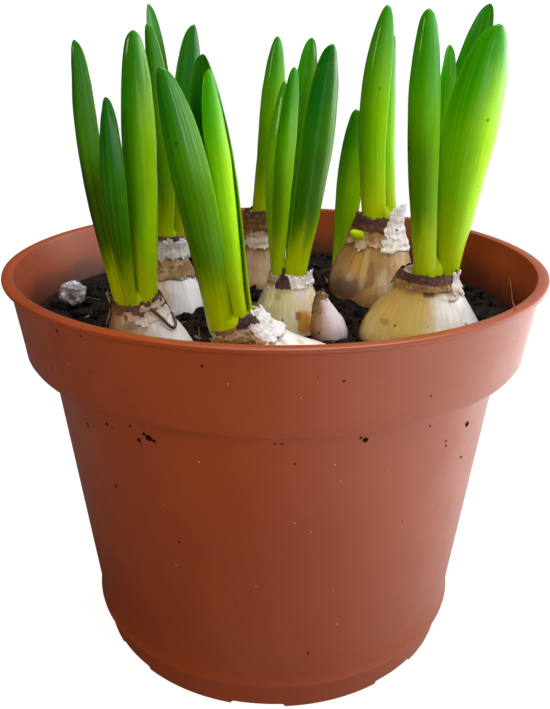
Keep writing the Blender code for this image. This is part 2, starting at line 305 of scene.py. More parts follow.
def makePatches():
    # torn-edged patches, as dry skin leaves on a bulb
    tree, bench, given, put = newGroup(
        "patches",
        [("Vector", "NodeSocketVector", None), ("Scale", "NodeSocketFloat", 60.0),
         ("Amount", "NodeSocketFloat", 0.5), ("Edge", "NodeSocketFloat", 0.04)],
        [("Mask", "NodeSocketFloat"), ("Rim", "NodeSocketFloat")],
    )
    broad = bench.noise(given["Vector"], given["Scale"], 5.0, 0.62, 0.4)
    level = bench.maths("SUBTRACT", 1.0, given["Amount"])
    low = bench.maths("SUBTRACT", level, given["Edge"])
    high = bench.maths("ADD", level, given["Edge"])
    mask = bench.span(broad, low, high)
    rim = bench.maths("MULTIPLY", mask, bench.maths("SUBTRACT", 1.0, mask))
    tree.links.new(mask, put["Mask"])
    tree.links.new(bench.maths("MULTIPLY", rim, 4.0), put["Rim"])
    return tree


def makeStain():
    # one soft-edged mark round a place: a mask, 1 in its middle
    tree, bench, given, put = newGroup(
        "stain",
        [("Vector", "NodeSocketVector", None), ("Middle", "NodeSocketVector", None),
         ("Size", "NodeSocketVector", None), ("Shake", "NodeSocketFloat", 0.0)],
        [("Mask", "NodeSocketFloat")],
    )
    gap = bench.vectorMaths("SUBTRACT", given["Vector"], given["Middle"])[0]
    gap = bench.vectorMaths("MULTIPLY", gap, given["Size"])[0]
    reach = bench.vectorMaths("LENGTH", gap)["Value"]
    tree.links.new(bench.span(bench.maths("ADD", reach, given["Shake"]), 1.0, 0.4), put["Mask"])
    return tree


speckles, fibres, patches, stain = makeSpeckles(), makeFibres(), makePatches(), makeStain()


def newFinish(name, roughness=0.5, **values):
    finish = bpy.data.materials.new(name)
    finish.use_nodes = True
    bench = Bench(finish.node_tree)
    shader = finish.node_tree.nodes["Principled BSDF"]
    shader.location = (2400, 0)
    shader.inputs["Roughness"].default_value = roughness
    for key, value in values.items():
        shader.inputs[key.replace("_", " ")].default_value = value
    return finish, bench, shader.inputs


def useGroup(bench, tree, **inputs):
    return bench.add("ShaderNodeGroup", inputs, node_tree=tree).outputs


# camera, floor and light

view = dict(
    place=(0, -276.5, 213.6), pitch=21.35, roll=0.354, lens=39.5,
    floorTone=0.14, floorGlow=0.96, floorBright=2.0, skyLeft=0.08, skyRight=0.7, skySeen=1.2,
    warm=(1, 0.56, 0.24), cool=(0.96, 1, 1),
    keyPlace=(700, -100, 220), keySize=480, keyPower=0.8,
    rimPlace=(640, 330, 170), rimSize=600, rimPower=3,
    topPlace=(160, 40, 900), topSize=600, topPower=6,
    fillPlace=(-200, -700, 420), fillSize=260, fillPower=1.65, fillColour=(1, 0.86, 0.7),
    glintPlace=(-620, -170, 330), glintSize=120, glintPower=0.45, glintColour=(1, 0.84, 0.62),
)


def setCamera():
    lens = bpy.data.cameras.new("photoCamera")
    lens.lens = view["lens"]
    lens.sensor_width = 36
    lens.clip_start = 0.01
    camera = bpy.data.objects.new("photoCamera", lens)
    bpy.context.scene.collection.objects.link(camera)
    tilt = Matrix.Rotation(math.radians(90 - view["pitch"]), 4, "X")
    roll = Matrix.Rotation(math.radians(view["roll"]), 4, "Z")
    camera.matrix_world = Matrix.Translation(Vector(view["place"]) * mm) @ tilt @ roll
    bpy.context.scene.camera = camera


def layFloor():
    letGo()
    bpy.ops.mesh.primitive_plane_add(size=12, location=(0, 0, -0.0002))
    floor = bpy.context.object
    floor.name = "studioFloor"
    finish, bench, sockets = newFinish("paleFloor", 0.9)
    tone = view["floorTone"]
    sockets["Base Color"].default_value = (tone, tone, tone, 1)
    sockets["Emission Color"].default_value = (1, 1, 1, 1)
    # even and pale to the camera, and a bright table on the right for the light it gives back
    seen = bench.add("ShaderNodeLightPath").outputs["Is Camera Ray"]
    side = bench.add("ShaderNodeSeparateXYZ", {0: bench.place()}).outputs[0]
    table = bench.span(side, -0.08, 0.36, 0.0, view["floorBright"])
    table = bench.maths("MULTIPLY", table, bench.span(side, 1.1, 0.7))
    glow = bench.choose(seen, table, view["floorGlow"])
    finish.node_tree.links.new(glow, sockets["Emission Strength"])
    floor.data.materials.append(finish)


def lightUp():
    world = bpy.data.worlds.new("whiteStudio")
    bpy.context.scene.world = world
    world.use_nodes = True
    bench = Bench(world.node_tree)
    sky = world.node_tree.nodes["Background"]
    side = bench.add("ShaderNodeSeparateXYZ", {0: bench.add("ShaderNodeTexCoord").outputs["Generated"]})
    glow = bench.span(side.outputs[0], -0.5, 1.0, view["skyLeft"], view["skyRight"])
    tint = bench.mix(bench.span(side.outputs[0], -0.9, 0.2), (*view["warm"], 1), (*view["cool"], 1))
    seen = bench.add("ShaderNodeLightPath").outputs["Is Camera Ray"]
    world.node_tree.links.new(bench.mix(seen, tint, (1, 1, 1, 1)), sky.inputs["Color"])
    strength = bench.choose(seen, glow, view["skySeen"])
    world.node_tree.links.new(strength, sky.inputs["Strength"])
    for name in ("key", "rim", "top", "fill", "glint"):
        lamp = bpy.data.lights.new(name + "Light", "AREA")
        lamp.size = view[name + "Size"] * mm
        lamp.energy = view[name + "Power"]
        lamp.color = view.get(name + "Colour", (1, 1, 1))
        light = bpy.data.objects.new(name + "Light", lamp)
        bpy.context.scene.collection.objects.link(light)
        light.location = Vector(view[name + "Place"]) * mm
        light.visible_glossy = name != "fill"  # the front light leaves no streaks on the leaves
        aim = Vector((0, 0, 0.13)) - light.location
        light.rotation_euler = aim.to_track_quat("-Z", "Y").to_euler()
    bpy.context.scene.view_settings.view_transform = "Standard"


def aimFrom(px, py):
    # the ray from the camera through a pixel of the 550 x 709 frame
    place = bpy.context.scene.camera.matrix_world
    focal = 709 * view["lens"] / 36
    ray = Vector(((px - 275) / focal, (354.5 - py) / focal, -1))
    return place.translation, (place.to_3x3() @ ray).normalized()


def spotOn(piece, px, py):
    # where that ray meets a piece: the place and the normal there
    start, ray = aimFrom(px, py)
    hit, place, normal, _ = piece.ray_cast(start, ray)
    if not hit:  # just past its outline: the nearest point of the piece
        middle = sum((Vector(corner) for corner in piece.bound_box), Vector()) / 8
        near = start + ray * (middle - start).dot(ray)
        _, place, normal, _ = piece.closest_point_on_mesh(near)
    return place, normal


setCamera()
layFloor()
lightUp()
print("camera, floor and light set")


# the pot

pot = dict(
    sides=160, wall=1.6, lipRadius=95, height=144, bandTop=92.6, bandLow=89.6, bandDepth=28.6,
    bodyTop=81.6, bodyLow=71, ridge=71.6, ridgeHeight=11.4, foot=68.4, footWall=2.6, floorHeight=5,
    bandKnee=121, bandSlope=0.148, feet=8, notchHeight=1.5, notchWidth=19, firstNotch=-4.5,
    holeRadius=4.5, holeCircle=52,
    # dirt: colour of the dirt specks, also used for the painted shade inside the wall
    clay=(160, 70, 28), clayDark=(146, 58, 22), dust=(190, 126, 92), dirt=(40, 24, 16),
)


def makePlastic():
    finish, bench, sockets = newFinish("terracottaPlastic", 0.36)
    place = bench.place()
    cloudy = bench.span(bench.noise(place, 22, 4, 0.6), 0.3, 0.7)
    grain = bench.noise(place, 900, 2, 0.5)
    rubbed = bench.span(bench.noise(bench.stretch(place, (1, 1, 5)), 130, 5, 0.7), 0.55, 0.8)
    colour = bench.mix(bench.maths("MULTIPLY", cloudy, 0.5), linear(*pot["clay"]), linear(*pot["clayDark"]))
    colour = bench.mix(bench.maths("MULTIPLY", rubbed, 0.1), colour, linear(*pot["dust"]))
    dusty = useGroup(bench, speckles, Vector=place, Scale=320.0, Amount=0.04)["Mask"]
    colour = bench.mix(bench.maths("MULTIPLY", dusty, 0.35), colour, linear(*pot["dust"]))
    elsewhere = bench.stretch(place, (1, 1, 1), (3, 1, 2))
    dirty = useGroup(bench, speckles, Vector=elsewhere, Scale=170.0, Amount=0.02)["Mask"]
    colour = bench.mix(bench.maths("MULTIPLY", dirty, 0.85), colour, linear(*pot["dirt"]))
    # painted shade: the inside of the wall darkens, in the dirt colour, towards the compost
    axes = bench.add("ShaderNodeSeparateXYZ", {0: place}).outputs
    square = bench.maths("MULTIPLY_ADD", axes[0], axes[0], bench.maths("MULTIPLY", axes[1], axes[1]))
    slope, foot = pot["bandSlope"], pot["bandLow"] + 0.3
    outside = bench.maths("MULTIPLY_ADD", axes[2], slope, (foot - pot["bandKnee"] * slope) * mm)
    depth = bench.maths("SUBTRACT", outside, bench.maths("SQRT", square))
    inside = bench.maths("GREATER_THAN", depth, pot["wall"] / 2 * mm)
    onBand = bench.maths("GREATER_THAN", axes[2], (pot["bandKnee"] - 2) * mm)
    inside = bench.maths("MULTIPLY", inside, onBand)
    level = bench.maths("MULTIPLY_ADD", bench.noise(place, 70, 5, 0.6), 0.012, axes[2])
    paintedSoilShade = bench.maths("MULTIPLY", inside, bench.span(level, 0.144, 0.131))
    colour = bench.mix(bench.maths("MULTIPLY", paintedSoilShade, 0.75), colour, linear(*pot["dirt"]))
    finish.node_tree.links.new(colour, sockets["Base Color"])
    rough = bench.maths("ADD", bench.maths("MULTIPLY", cloudy, 0.1), 0.31)
    rough = bench.maths("ADD", rough, bench.maths("MULTIPLY", rubbed, 0.12))
    finish.node_tree.links.new(rough, sockets["Roughness"])
    relief = bench.maths("ADD", bench.maths("MULTIPLY", grain, 0.25), bench.maths("MULTIPLY", cloudy, 0.6))
    relief = bench.maths("ADD", relief, bench.maths("MULTIPLY", dirty, 2.0))
    finish.node_tree.links.new(bench.bump(relief, 0.00012, 0.5), sockets["Normal"])
    return finish


def turnPot():
    top = pot["height"]
    bandEnd = top - pot["bandDepth"]
    wall = pot["wall"]
    outside = [
        (pot["foot"] - pot["footWall"], pot["floorHeight"]),
        (pot["foot"] - pot["footWall"], 0.4), (pot["foot"] - pot["footWall"] + 0.4, 0),
        (pot["foot"] - 0.4, 0), (pot["foot"], 0.4), (pot["foot"] + 0.4, 10.2),
        (pot["ridge"] - 0.7, 10.9), (pot["ridge"] - 0.1, 11.5), (pot["ridge"], 12.1),
        (pot["ridge"] - 0.35, 12.8), (pot["bodyLow"] - 0.1, 16.5), (pot["bodyLow"] + 0.9, 26),
        (pot["bodyTop"] - 0.5, 109), (pot["bodyTop"], 113.2), (pot["bodyTop"] + 1, 114.6),
        (pot["bandLow"] - 2.4, 115.1), (pot["bandLow"] - 0.9, 115.8), (pot["bandLow"] - 0.1, 117.2),
        (pot["bandLow"] + 0.3, pot["bandKnee"]), (pot["bandTop"] - 0.1, 140.6),
        (pot["bandTop"] + 0.1, 141.9), (pot["bandTop"] + 0.5, 142.2),
        (pot["lipRadius"] - 0.5, 142.3), (pot["lipRadius"] - 0.1, 142.6),
        (pot["lipRadius"], 143.1), (pot["lipRadius"] - 0.2, 143.7), (pot["lipRadius"] - 0.8, top),
    ]
    inside = [
        (pot["bandTop"] - wall + 0.9, top), (pot["bandTop"] - wall + 0.2, 143.7),
        (pot["bandTop"] - wall, 143), (pot["bandLow"] - wall + 0.2, 118.6),
        (pot["bandLow"] - wall - 0.6, 117), (pot["bodyTop"] - wall, bandEnd + 0.4),
        (pot["bodyLow"] - wall, 18), (pot["foot"] - wall, 11), (pot["foot"] - wall - 1.5, 6.6),
    ]
    rings = [(radius, height, 0, 0) for radius, height in outside + inside]
    made = startRing("pot_body", rings[0][0], rings[0][1], pot["sides"])
    raiseRings(rings)
    closeEnds()
    return made


def cutPot(made):
    # eight shallow notches under the foot ring and eight drainage holes in the floor
    tools = []
    for number in range(pot["feet"]):
        angle = math.radians(pot["firstNotch"] - 90 + 360 * number / pot["feet"])
        letGo()
        bpy.ops.mesh.primitive_cube_add(size=1)
        notch = bpy.context.object
        notch.scale = (12 * mm, pot["notchWidth"] * mm, 2 * pot["notchHeight"] * mm)
        bpy.ops.object.transform_apply(scale=True)
        refine(notch, "BEVEL", width=1.2 * mm, segments=3)
        spot = (pot["foot"] * mm * math.cos(angle), pot["foot"] * mm * math.sin(angle), 0)
        putInPlace(notch, Matrix.Translation(spot) @ Matrix.Rotation(angle, 4, "Z"))
        ring = pot["holeCircle"] * mm
        spot = (ring * math.cos(angle), ring * math.sin(angle), pot["floorHeight"] * mm)
        letGo()
        bpy.ops.mesh.primitive_cylinder_add(
            vertices=40, radius=pot["holeRadius"] * mm, depth=8 * mm, location=spot
        )
        tools += [notch, bpy.context.object]
    tool = joinAll(tools, "potCutter")
    refine(made, "BOOLEAN", operation="DIFFERENCE", solver="EXACT", object=tool)
    bpy.data.objects.remove(tool)


potPiece = turnPot()
cutPot(potPiece)
finishPiece(potPiece, makePlastic(), "pot_plastic", "pot", sharp=32)
print("pot turned")


# the bulbs

# flesh: colour of the lit side that looks right, side: painted shade, the darker colour of the side that
# looks left
# marks: direction in degrees, none for a ring, share of the neck's height, width, height, colour, strength;
# most are stains, the lilac-grey one on the middle bulb is a painted sheen
bulbs = {
    "front_left": dict(
        at=(-40, -45, 118), radius=16.5, neck=24, slim=7.6, slope=1.6, lean=7, to=190,
        flesh=(255, 250, 252), side=(206, 168, 122), vein=(140, 104, 88), patch=(176, 134, 92), patches=0.4,
        stainsAndSheen=(
            (None, 1.02, 1, 0.1, (92, 56, 60), 0.7), (291, 0.89, 0.3, 0.09, (70, 42, 52), 0.9),
            (251, 0.86, 0.1, 0.06, (90, 60, 50), 0.8), (262, 0.76, 0.5, 0.07, (134, 110, 78), 0.7),
            (336, 0.82, 0.3, 0.2, (248, 226, 222), 0.9), (206, 0.8, 0.3, 0.4, (170, 126, 82), 0.6),
        ),
    ),
    "front": dict(
        at=(8, -57, 113), radius=20.5, neck=33, slim=7.6, slope=2.3, lean=27.5, to=186, sway=5, bud=0.1,
        flesh=(255, 254, 250), side=(240, 224, 200), vein=(176, 140, 116), patch=(216, 188, 158),
        patches=0.25,
        stainsAndSheen=(
            (326, 0.76, 0.16, 0.16, (164, 112, 100), 0.6), (349, 0.56, 0.14, 0.05, (222, 186, 120), 0.8),
            (357, 0.4, 0.25, 0.06, (232, 206, 160), 0.6),
        ),
    ),
    "front_right": dict(
        at=(49, -30, 122), radius=21, neck=25, slim=8.6, slope=1.5, lean=2, to=0,
        flesh=(255, 255, 254), side=(206, 172, 96), vein=(150, 116, 60), patch=(196, 158, 92), patches=0.3,
        stainsAndSheen=(
            (None, 0.9, 1, 0.16, (184, 138, 88), 0.7), (None, 1, 1, 0.12, (104, 66, 54), 0.8),
            (262, 0.8, 0.26, 0.06, (96, 58, 50), 0.85),
            (200, 0.74, 0.5, 0.3, (196, 150, 96), 0.6), (216, 0.41, 0.14, 0.05, (150, 104, 50), 0.6),
            (255, 0.5, 0.4, 0.3, (216, 190, 104), 0.5), (314, 0.44, 0.05, 0.05, (60, 44, 40), 0.8),
        ),
    ),
    "back_left": dict(
        at=(-41, 3, 119), radius=16, neck=32, slim=6.4, slope=2.4, lean=4, to=0,
        flesh=(250, 246, 255), side=(224, 200, 180), vein=(150, 122, 118), patch=(186, 150, 120),
        patches=0.25,
        stainsAndSheen=(
            (None, 0.88, 1, 0.05, (126, 84, 56), 0.7), (None, 0.7, 1, 0.13, (186, 134, 72), 0.85),
            (None, 0.58, 1, 0.045, (84, 50, 46), 0.85), (273, 0.36, 0.4, 0.16, (206, 168, 136), 0.5),
        ),
    ),
    "middle": dict(
        at=(5, -18, 120), radius=13.2, neck=23, slim=6.6, slope=1.15, lean=1, to=180,
        flesh=(240, 226, 196), side=(236, 228, 172), vein=(172, 150, 84), patch=(206, 160, 84), patches=0.3,
        stainsAndSheen=(
            (None, 0.9, 1, 0.08, (176, 124, 56), 0.75), (294, 0.37, 0.32, 0.22, (204, 140, 36), 0.95),
            # the lilac-grey mark at 296 degrees is a painted sheen
            (285, 0.45, 0.14, 0.1, (140, 90, 50), 0.8), (296, 0.74, 0.3, 0.16, (228, 216, 216), 0.8),
            (196, 0.6, 0.3, 0.3, (170, 130, 84), 0.6), (324, 0.6, 0.25, 0.25, (196, 140, 70), 0.6),
            (245, 0.72, 0.3, 0.08, (206, 168, 104), 0.7),
        ),
    ),
    "back": dict(
        at=(-4, 40, 121), radius=16, neck=32, slim=6.4, slope=2.4, lean=3, to=180,
        flesh=(214, 188, 160), side=(180, 142, 104), vein=(110, 76, 54), patch=(134, 92, 62), patches=0.45,
        stainsAndSheen=((None, 0.88, 1, 0.06, (80, 48, 40), 0.8), (None, 0.6, 1, 0.08, (150, 104, 66), 0.7)),
    ),
    "back_right": dict(
        at=(38, 21, 126), radius=17, neck=28, slim=8.4, slope=1.5, lean=4, to=20,
        flesh=(206, 170, 118), side=(176, 136, 84), vein=(112, 76, 46), patch=(160, 112, 52), patches=0.42,
        stainsAndSheen=(
            (None, 0.9, 1, 0.14, (96, 64, 40), 0.75), (225, 0.1, 0.6, 0.24, (96, 72, 76), 0.85),
            (233, 0.45, 0.14, 0.3, (206, 150, 60), 0.7), (259, 0.35, 0.12, 0.3, (126, 84, 44), 0.6),
            (280, 0.2, 0.2, 0.3, (214, 202, 190), 0.45), (248, 0.5, 0.1, 0.5, (220, 184, 120), 0.5),
            (285, 0.5, 0.08, 0.5, (140, 96, 54), 0.5), (295, 0.35, 0.12, 0.3, (190, 120, 56), 0.7),
            (270, 0.64, 0.25, 0.1, (200, 160, 112), 0.6),
        ),
    ),
    "offset": dict(
        at=(18.2, -31, 125.5), radius=6.2, neck=14.5, slim=1.4, slope=1.25, lean=14, to=175,
        flesh=(246, 236, 246), side=(176, 130, 96), vein=(120, 84, 88), patch=(170, 128, 120), patches=0.3,
        stainsAndSheen=((200, 0.4, 0.6, 0.6, (150, 98, 56), 0.8), (None, 1, 1, 0.18, (120, 80, 60), 0.7)),
    ),
}


def bulbStand(bulb):
    # the matrix that stands a bulb, modelled straight up, in its place
    turn = Matrix.Rotation(math.radians(bulb["to"]), 4, "Z")
    lean = Matrix.Rotation(math.radians(bulb["lean"]), 4, "Y")
    return Matrix.Translation(Vector(bulb["at"]) * mm) @ turn @ lean @ turn.inverted()


def bulbRadius(bulb, height):
    if height >= bulb["neck"]:
        return bulb["slim"]
    if height < 0:
        return math.sqrt(max(bulb["radius"] ** 2 - height**2, 1))
    draw = math.cos(math.pi / 2 * height / bulb["neck"]) ** bulb["slope"]
    return bulb["slim"] + (bulb["radius"] - bulb["slim"]) * draw


def bulbSway(bulb, height):
    share = min(max(height / bulb["neck"], 0), 1)
    reach = bulb.get("sway", 0) * share**2 * (3 - 2 * share)
    turn = math.radians(bulb["to"])
    return reach * math.cos(turn), reach * math.sin(turn)


def roundUp(made, bulb):
    # keeps where each vertex is round the bulb's own axis: cosine, sine and height share
    rounds = []
    for vert in made.data.vertices:
        sway = bulbSway(bulb, vert.co.z / mm)
        angle = math.atan2(vert.co.y - sway[1] * mm, vert.co.x - sway[0] * mm)
        rounds += [math.cos(angle), math.sin(angle), vert.co.z / mm / bulb["neck"]]
    made.data.attributes.new("bulbRound", "FLOAT_VECTOR", "POINT").data.foreach_set("vector", rounds)


def makeSkin(place, bulb):
    finish, bench, sockets = newFinish("bulbSkin_" + place, 0.3, Coat_Weight=0.5, Coat_Roughness=0.22)
    where = bench.place()
    around = bench.add("ShaderNodeAttribute", attribute_name="bulbRound").outputs["Vector"]
    turn = bench.add("ShaderNodeSeparateXYZ", {0: around}).outputs
    cloudy = bench.noise(where, 90, 4, 0.6)
    # painted light and shade: the side that looks right, towards the lamps, takes the flesh colour, the
    # other side the darker side colour
    sunny = bench.maths("ADD", turn[0], bench.maths("MULTIPLY", bench.maths("SUBTRACT", cloudy, 0.5), 2.2))
    sunny = bench.span(sunny, -0.5, 0.7)
    shady = bench.maths("SUBTRACT", 1.0, bench.maths("MULTIPLY", sunny, 0.8))
    colour = bench.mix(sunny, linear(*bulb["side"]), linear(*bulb["flesh"]))
    veins = useGroup(bench, fibres, Vector=around, Count=16.0, Length=1.4)
    colour = bench.mix(bench.maths("MULTIPLY", veins["Lines"], 0.14), colour, linear(*bulb["vein"]))
    hair = useGroup(bench, fibres, Vector=around, Count=46.0, Length=2.6)
    colour = bench.mix(bench.maths("MULTIPLY", hair["Lines"], 0.12), colour, linear(*bulb["vein"]))
    torn = useGroup(bench, patches, Vector=where, Scale=75.0, Amount=bulb["patches"], Edge=0.12)
    # dry-skin patches, drawn stronger on the side away from the lamps: partly painted shade
    patchesAndShade = bench.maths("MULTIPLY", bench.maths("MULTIPLY", torn["Mask"], shady), 0.5)
    colour = bench.mix(patchesAndShade, colour, linear(*bulb["patch"]))
    shake = bench.maths("MULTIPLY", bench.maths("SUBTRACT", bench.noise(where, 230, 4, 0.6), 0.5), 1.8)
    for middle, share, wide, tall, tint, strength in bulb["stainsAndSheen"]:
        angle = math.radians(middle or 0)
        spot = (0, 0, share) if middle is None else (math.cos(angle), math.sin(angle), share)
        reach = (0, 0, 1 / tall) if middle is None else (1 / wide, 1 / wide, 1 / tall)
        mark = useGroup(bench, stain, Vector=around, Middle=spot, Size=reach, Shake=shake)["Mask"]
        colour = bench.mix(bench.maths("MULTIPLY", mark, strength), colour, linear(*tint))
    # painted shade: the bottom of the bulb darkens to the vein colour on the side away from the lamps
    low = bench.maths("MULTIPLY", bench.span(turn[2], 0.3, -0.1), bench.maths("MULTIPLY", shady, 0.35))
    colour = bench.mix(low, colour, linear(*bulb["vein"]))
    soily = useGroup(bench, speckles, Vector=where, Scale=420.0, Amount=0.07)["Mask"]
    colour = bench.mix(bench.maths("MULTIPLY", soily, 0.8), colour, linear(44, 30, 22))
    finish.node_tree.links.new(colour, sockets["Base Color"])
    rough = bench.maths("ADD", bench.maths("MULTIPLY", torn["Mask"], 0.2), 0.28)
    finish.node_tree.links.new(rough, sockets["Roughness"])
    relief = bench.maths("MULTIPLY", torn["Mask"], 0.5)
    relief = bench.maths("MULTIPLY_ADD", veins["Lines"], 0.4, relief)
    relief = bench.maths("ADD", relief, bench.maths("MULTIPLY", hair["Lines"], 0.25))
    relief = bench.maths("ADD", relief, bench.maths("MULTIPLY", shake, 0.4))
    finish.node_tree.links.new(bench.bump(relief, 0.0003, 0.6), sockets["Normal"])
    return finish


def growBulb(place, bulb, *nodes):
    radius, neck = bulb["radius"], bulb["neck"]
    heights = [-0.86 * radius * math.cos(math.pi / 2 * n / 7) for n in range(7)]
    heights += [neck * n / 12 for n in range(13)]
    rings = [(bulbRadius(bulb, h), h, *bulbSway(bulb, h)) for h in heights]
    brim = rings[-1]
    rings += [(brim[0] * share, neck - dip, *brim[2:]) for share, dip in ((0.9, 0.1), (0.78, 1.6), (0.6, 4))]
    made = startRing("bulb_" + place + "_flesh", rings[0][0], rings[0][1], 28)
    bpy.ops.transform.translate(value=(rings[0][2] * mm, rings[0][3] * mm, 0))
    raiseRings(rings)
    closeEnds()
    smoothUp(made, 1)
    cloudBumps(made, "lumps", 13, 1.3)
    cloudBumps(made, "dents", 5, 0.35)
    roundUp(made, bulb)
    putInPlace(made, bulbStand(bulb))
    return finishPiece(made, makeSkin(place, bulb), "bulb_skin", *nodes)


bulbPieces = {}
for place, bulb in bulbs.items():
    node = "offset_bulb" if place == "offset" else "bulb_" + place
    bulbPieces[place] = growBulb(place, bulb, node)
print("bulbs grown:", len(bulbPieces))


# the dry tunics: torn sheets of skin round each neck

tunic = dict(sides=72, row=0.9, thick=0.24, crumple=0.9, crumpleSize=2.6, fray=0.5, soil=(44, 30, 22))
# each sheet: low and high from the neck's top, how ragged, middle and spread in degrees,
# how far out, flare of the top, depth of its folds, tone below and above from 0, dark, to 1, white,
# and how it narrows: 1 to a point above, -1 to a point below
sheets = {
    "front_left": (
        (-2.6, 0.4, 1, 0, 180, 0.3, -0.6, 0.3, 0.36, 0.1, 0),
        (-6, -0.4, 1.4, 318, 50, 0.25, 0, 0.3, 0.9, 0.7, 0.35),
        (-9, 3.2, 1.4, 180, 20, 0.7, 0.1, 0.3, 0.62, 0.6, 0.6),
    ),
    "front": (
        (-9.4, -0.6, 1.4, 0, 180, 0.2, -0.3, 0.5, 0.9, 0.95, 0),
        (-13, -0.6, 1.7, 220, 84, 0.8, -0.2, 1, 0.5, 0.62, 0.15),
        (-8.5, -2.2, 1.7, 226, 66, 1.3, 0, 1, 0.36, 0.55, 0.3),
        (-9.6, 0.9, 1.6, 335, 48, 0.8, -0.2, 0.8, 1, 1.1, 0.25),
        (-1.4, 2, 1.3, 296, 24, 1, -0.1, 0.5, 0.1, 0, 0.3),
        (-1.6, 0.4, 0.7, 0, 180, 0.5, -0.6, 0.3, 0.6, 0.4, 0),
    ),
    "front_right": (
        (-4.2, -0.5, 1, 0, 180, 0.5, 0, 0.9, 0.56, 0.24, 0),
        (-2.4, 0.5, 0.8, 0, 180, 0.75, -0.6, 0.5, 0.16, 0.06, 0),
        (-5, 2.2, 1.3, 325, 22, 1.1, 0.2, 0.4, 0.84, 1, 0.5),
        (-6.6, -3.4, 1.2, 345, 50, 0.3, 0, 0.4, 0.86, 0.7, 0.1),
    ),
    "back_left": (
        (-7.4, -0.6, 1.4, 0, 180, 0.4, -0.3, 0.35, 0.84, 1.05, 0),
        (-1.2, 0.6, 0.8, 0, 180, 0.6, -0.6, 0.3, 0.3, 0.16, 0),
        (-14, -9, 1.6, 300, 70, 0.2, 0, 0.3, 0.56, 0.5, 0.3),
    ),
    "middle": (
        (-3.8, -0.2, 1, 310, 80, 0.3, -0.7, 0.3, 0.94, 0.98, 0.2),
        (-2.2, 0.1, 0.8, 0, 180, 0.25, -0.6, 0.2, 0.7, 0.6, 0),
        (-3.4, 3.8, 0.35, 254, 21, 0.8, -0.2, 0.2, 0.12, -0.05, 0.95),
        (-3, 1.4, 0.8, 332, 22, 0.9, 0.4, 0.4, 1, 1.1, 0.4),
    ),
    "back": (
        (-13.5, -5, 1.8, 300, 90, 0.4, 0, 0.5, 0.8, 0.7, 0.2),
        (-7, -0.6, 1.5, 0, 180, 0.7, 0, 0.6, 0.46, 0.34, 0),
        (-1.8, 0.8, 0.9, 0, 180, 0.9, -0.6, 0.4, 0.16, 0.08, 0),
    ),
    "back_right": (
        (-10, -2, 2.2, 240, 105, 0.3, 0, 0.9, 0.64, 0.34, 0.2),
        (-3.6, 1, 1.5, 215, 110, 0.8, -0.4, 0.6, 0.18, 0.06, 0.2),
        (-11, 6.5, 1.2, 320, 50, 0.8, 0.1, 0.5, 0.84, 1.05, 0.5),
        (-6.5, 2.5, 1.2, 298, 24, 1.2, 0.1, 0.4, 1.1, 1.15, 0.4),
    ),
    "offset": (
        (-2.2, 0.2, 0.8, 0, 180, 0.1, -0.2, 0.2, 0.5, 0.34, 0),
        (-6, -1, 1.2, 205, 60, 0.1, 0, 0.2, 0.5, 0.4, 0.4),
    ),
}


def makePaper():
    finish, bench, sockets = newFinish("dryTunic", 0.62)
    where = bench.place()
    around = bench.add("ShaderNodeAttribute", attribute_name="bulbRound").outputs["Vector"]
    tone = bench.number("skinTone")
    cloudy = bench.maths("SUBTRACT", bench.noise(where, 210, 6, 0.72), 0.5)
    tone = bench.maths("ADD", tone, bench.maths("MULTIPLY", cloudy, 1.0))
    ramp = bench.add("ShaderNodeValToRGB", {0: tone}).color_ramp
    stops = ((0, (58, 26, 38)), (0.2, (94, 60, 46)), (0.42, (148, 106, 58)), (0.6, (192, 154, 106)),
             (0.8, (236, 220, 206)), (1, (255, 251, 253)))
    ramp.elements[1].position = 1
    for spot, _ in stops[1:-1]:
        ramp.elements.new(spot)
    for element, (_, colour) in zip(ramp.elements, stops):
        element.color = linear(*colour)
    colour = bench.tree.nodes[-1].outputs[0]
    lines = useGroup(bench, fibres, Vector=around, Count=26.0, Length=3.0)
    colour = bench.mix(bench.maths("MULTIPLY", lines["Lines"], 0.22), colour, linear(112, 76, 62))
    web = bench.add("ShaderNodeTexVoronoi", {"Vector": where, "Scale": 620.0}, feature="DISTANCE_TO_EDGE")
    net = bench.span(web.outputs[0], 0.12, 0.0)
    colour = bench.mix(bench.maths("MULTIPLY", net, 0.24), colour, linear(120, 84, 66))
    soily = useGroup(bench, speckles, Vector=where, Scale=500.0, Amount=0.08)["Mask"]
    colour = bench.mix(bench.maths("MULTIPLY", soily, 0.8), colour, linear(*tunic["soil"]))
    finish.node_tree.links.new(colour, sockets["Base Color"])
    relief = bench.maths("MULTIPLY_ADD", lines["Lines"], 0.7, bench.noise(where, 600, 4, 0.6))
    finish.node_tree.links.new(bench.bump(relief, 0.0004, 0.7), sockets["Normal"])
    return finish


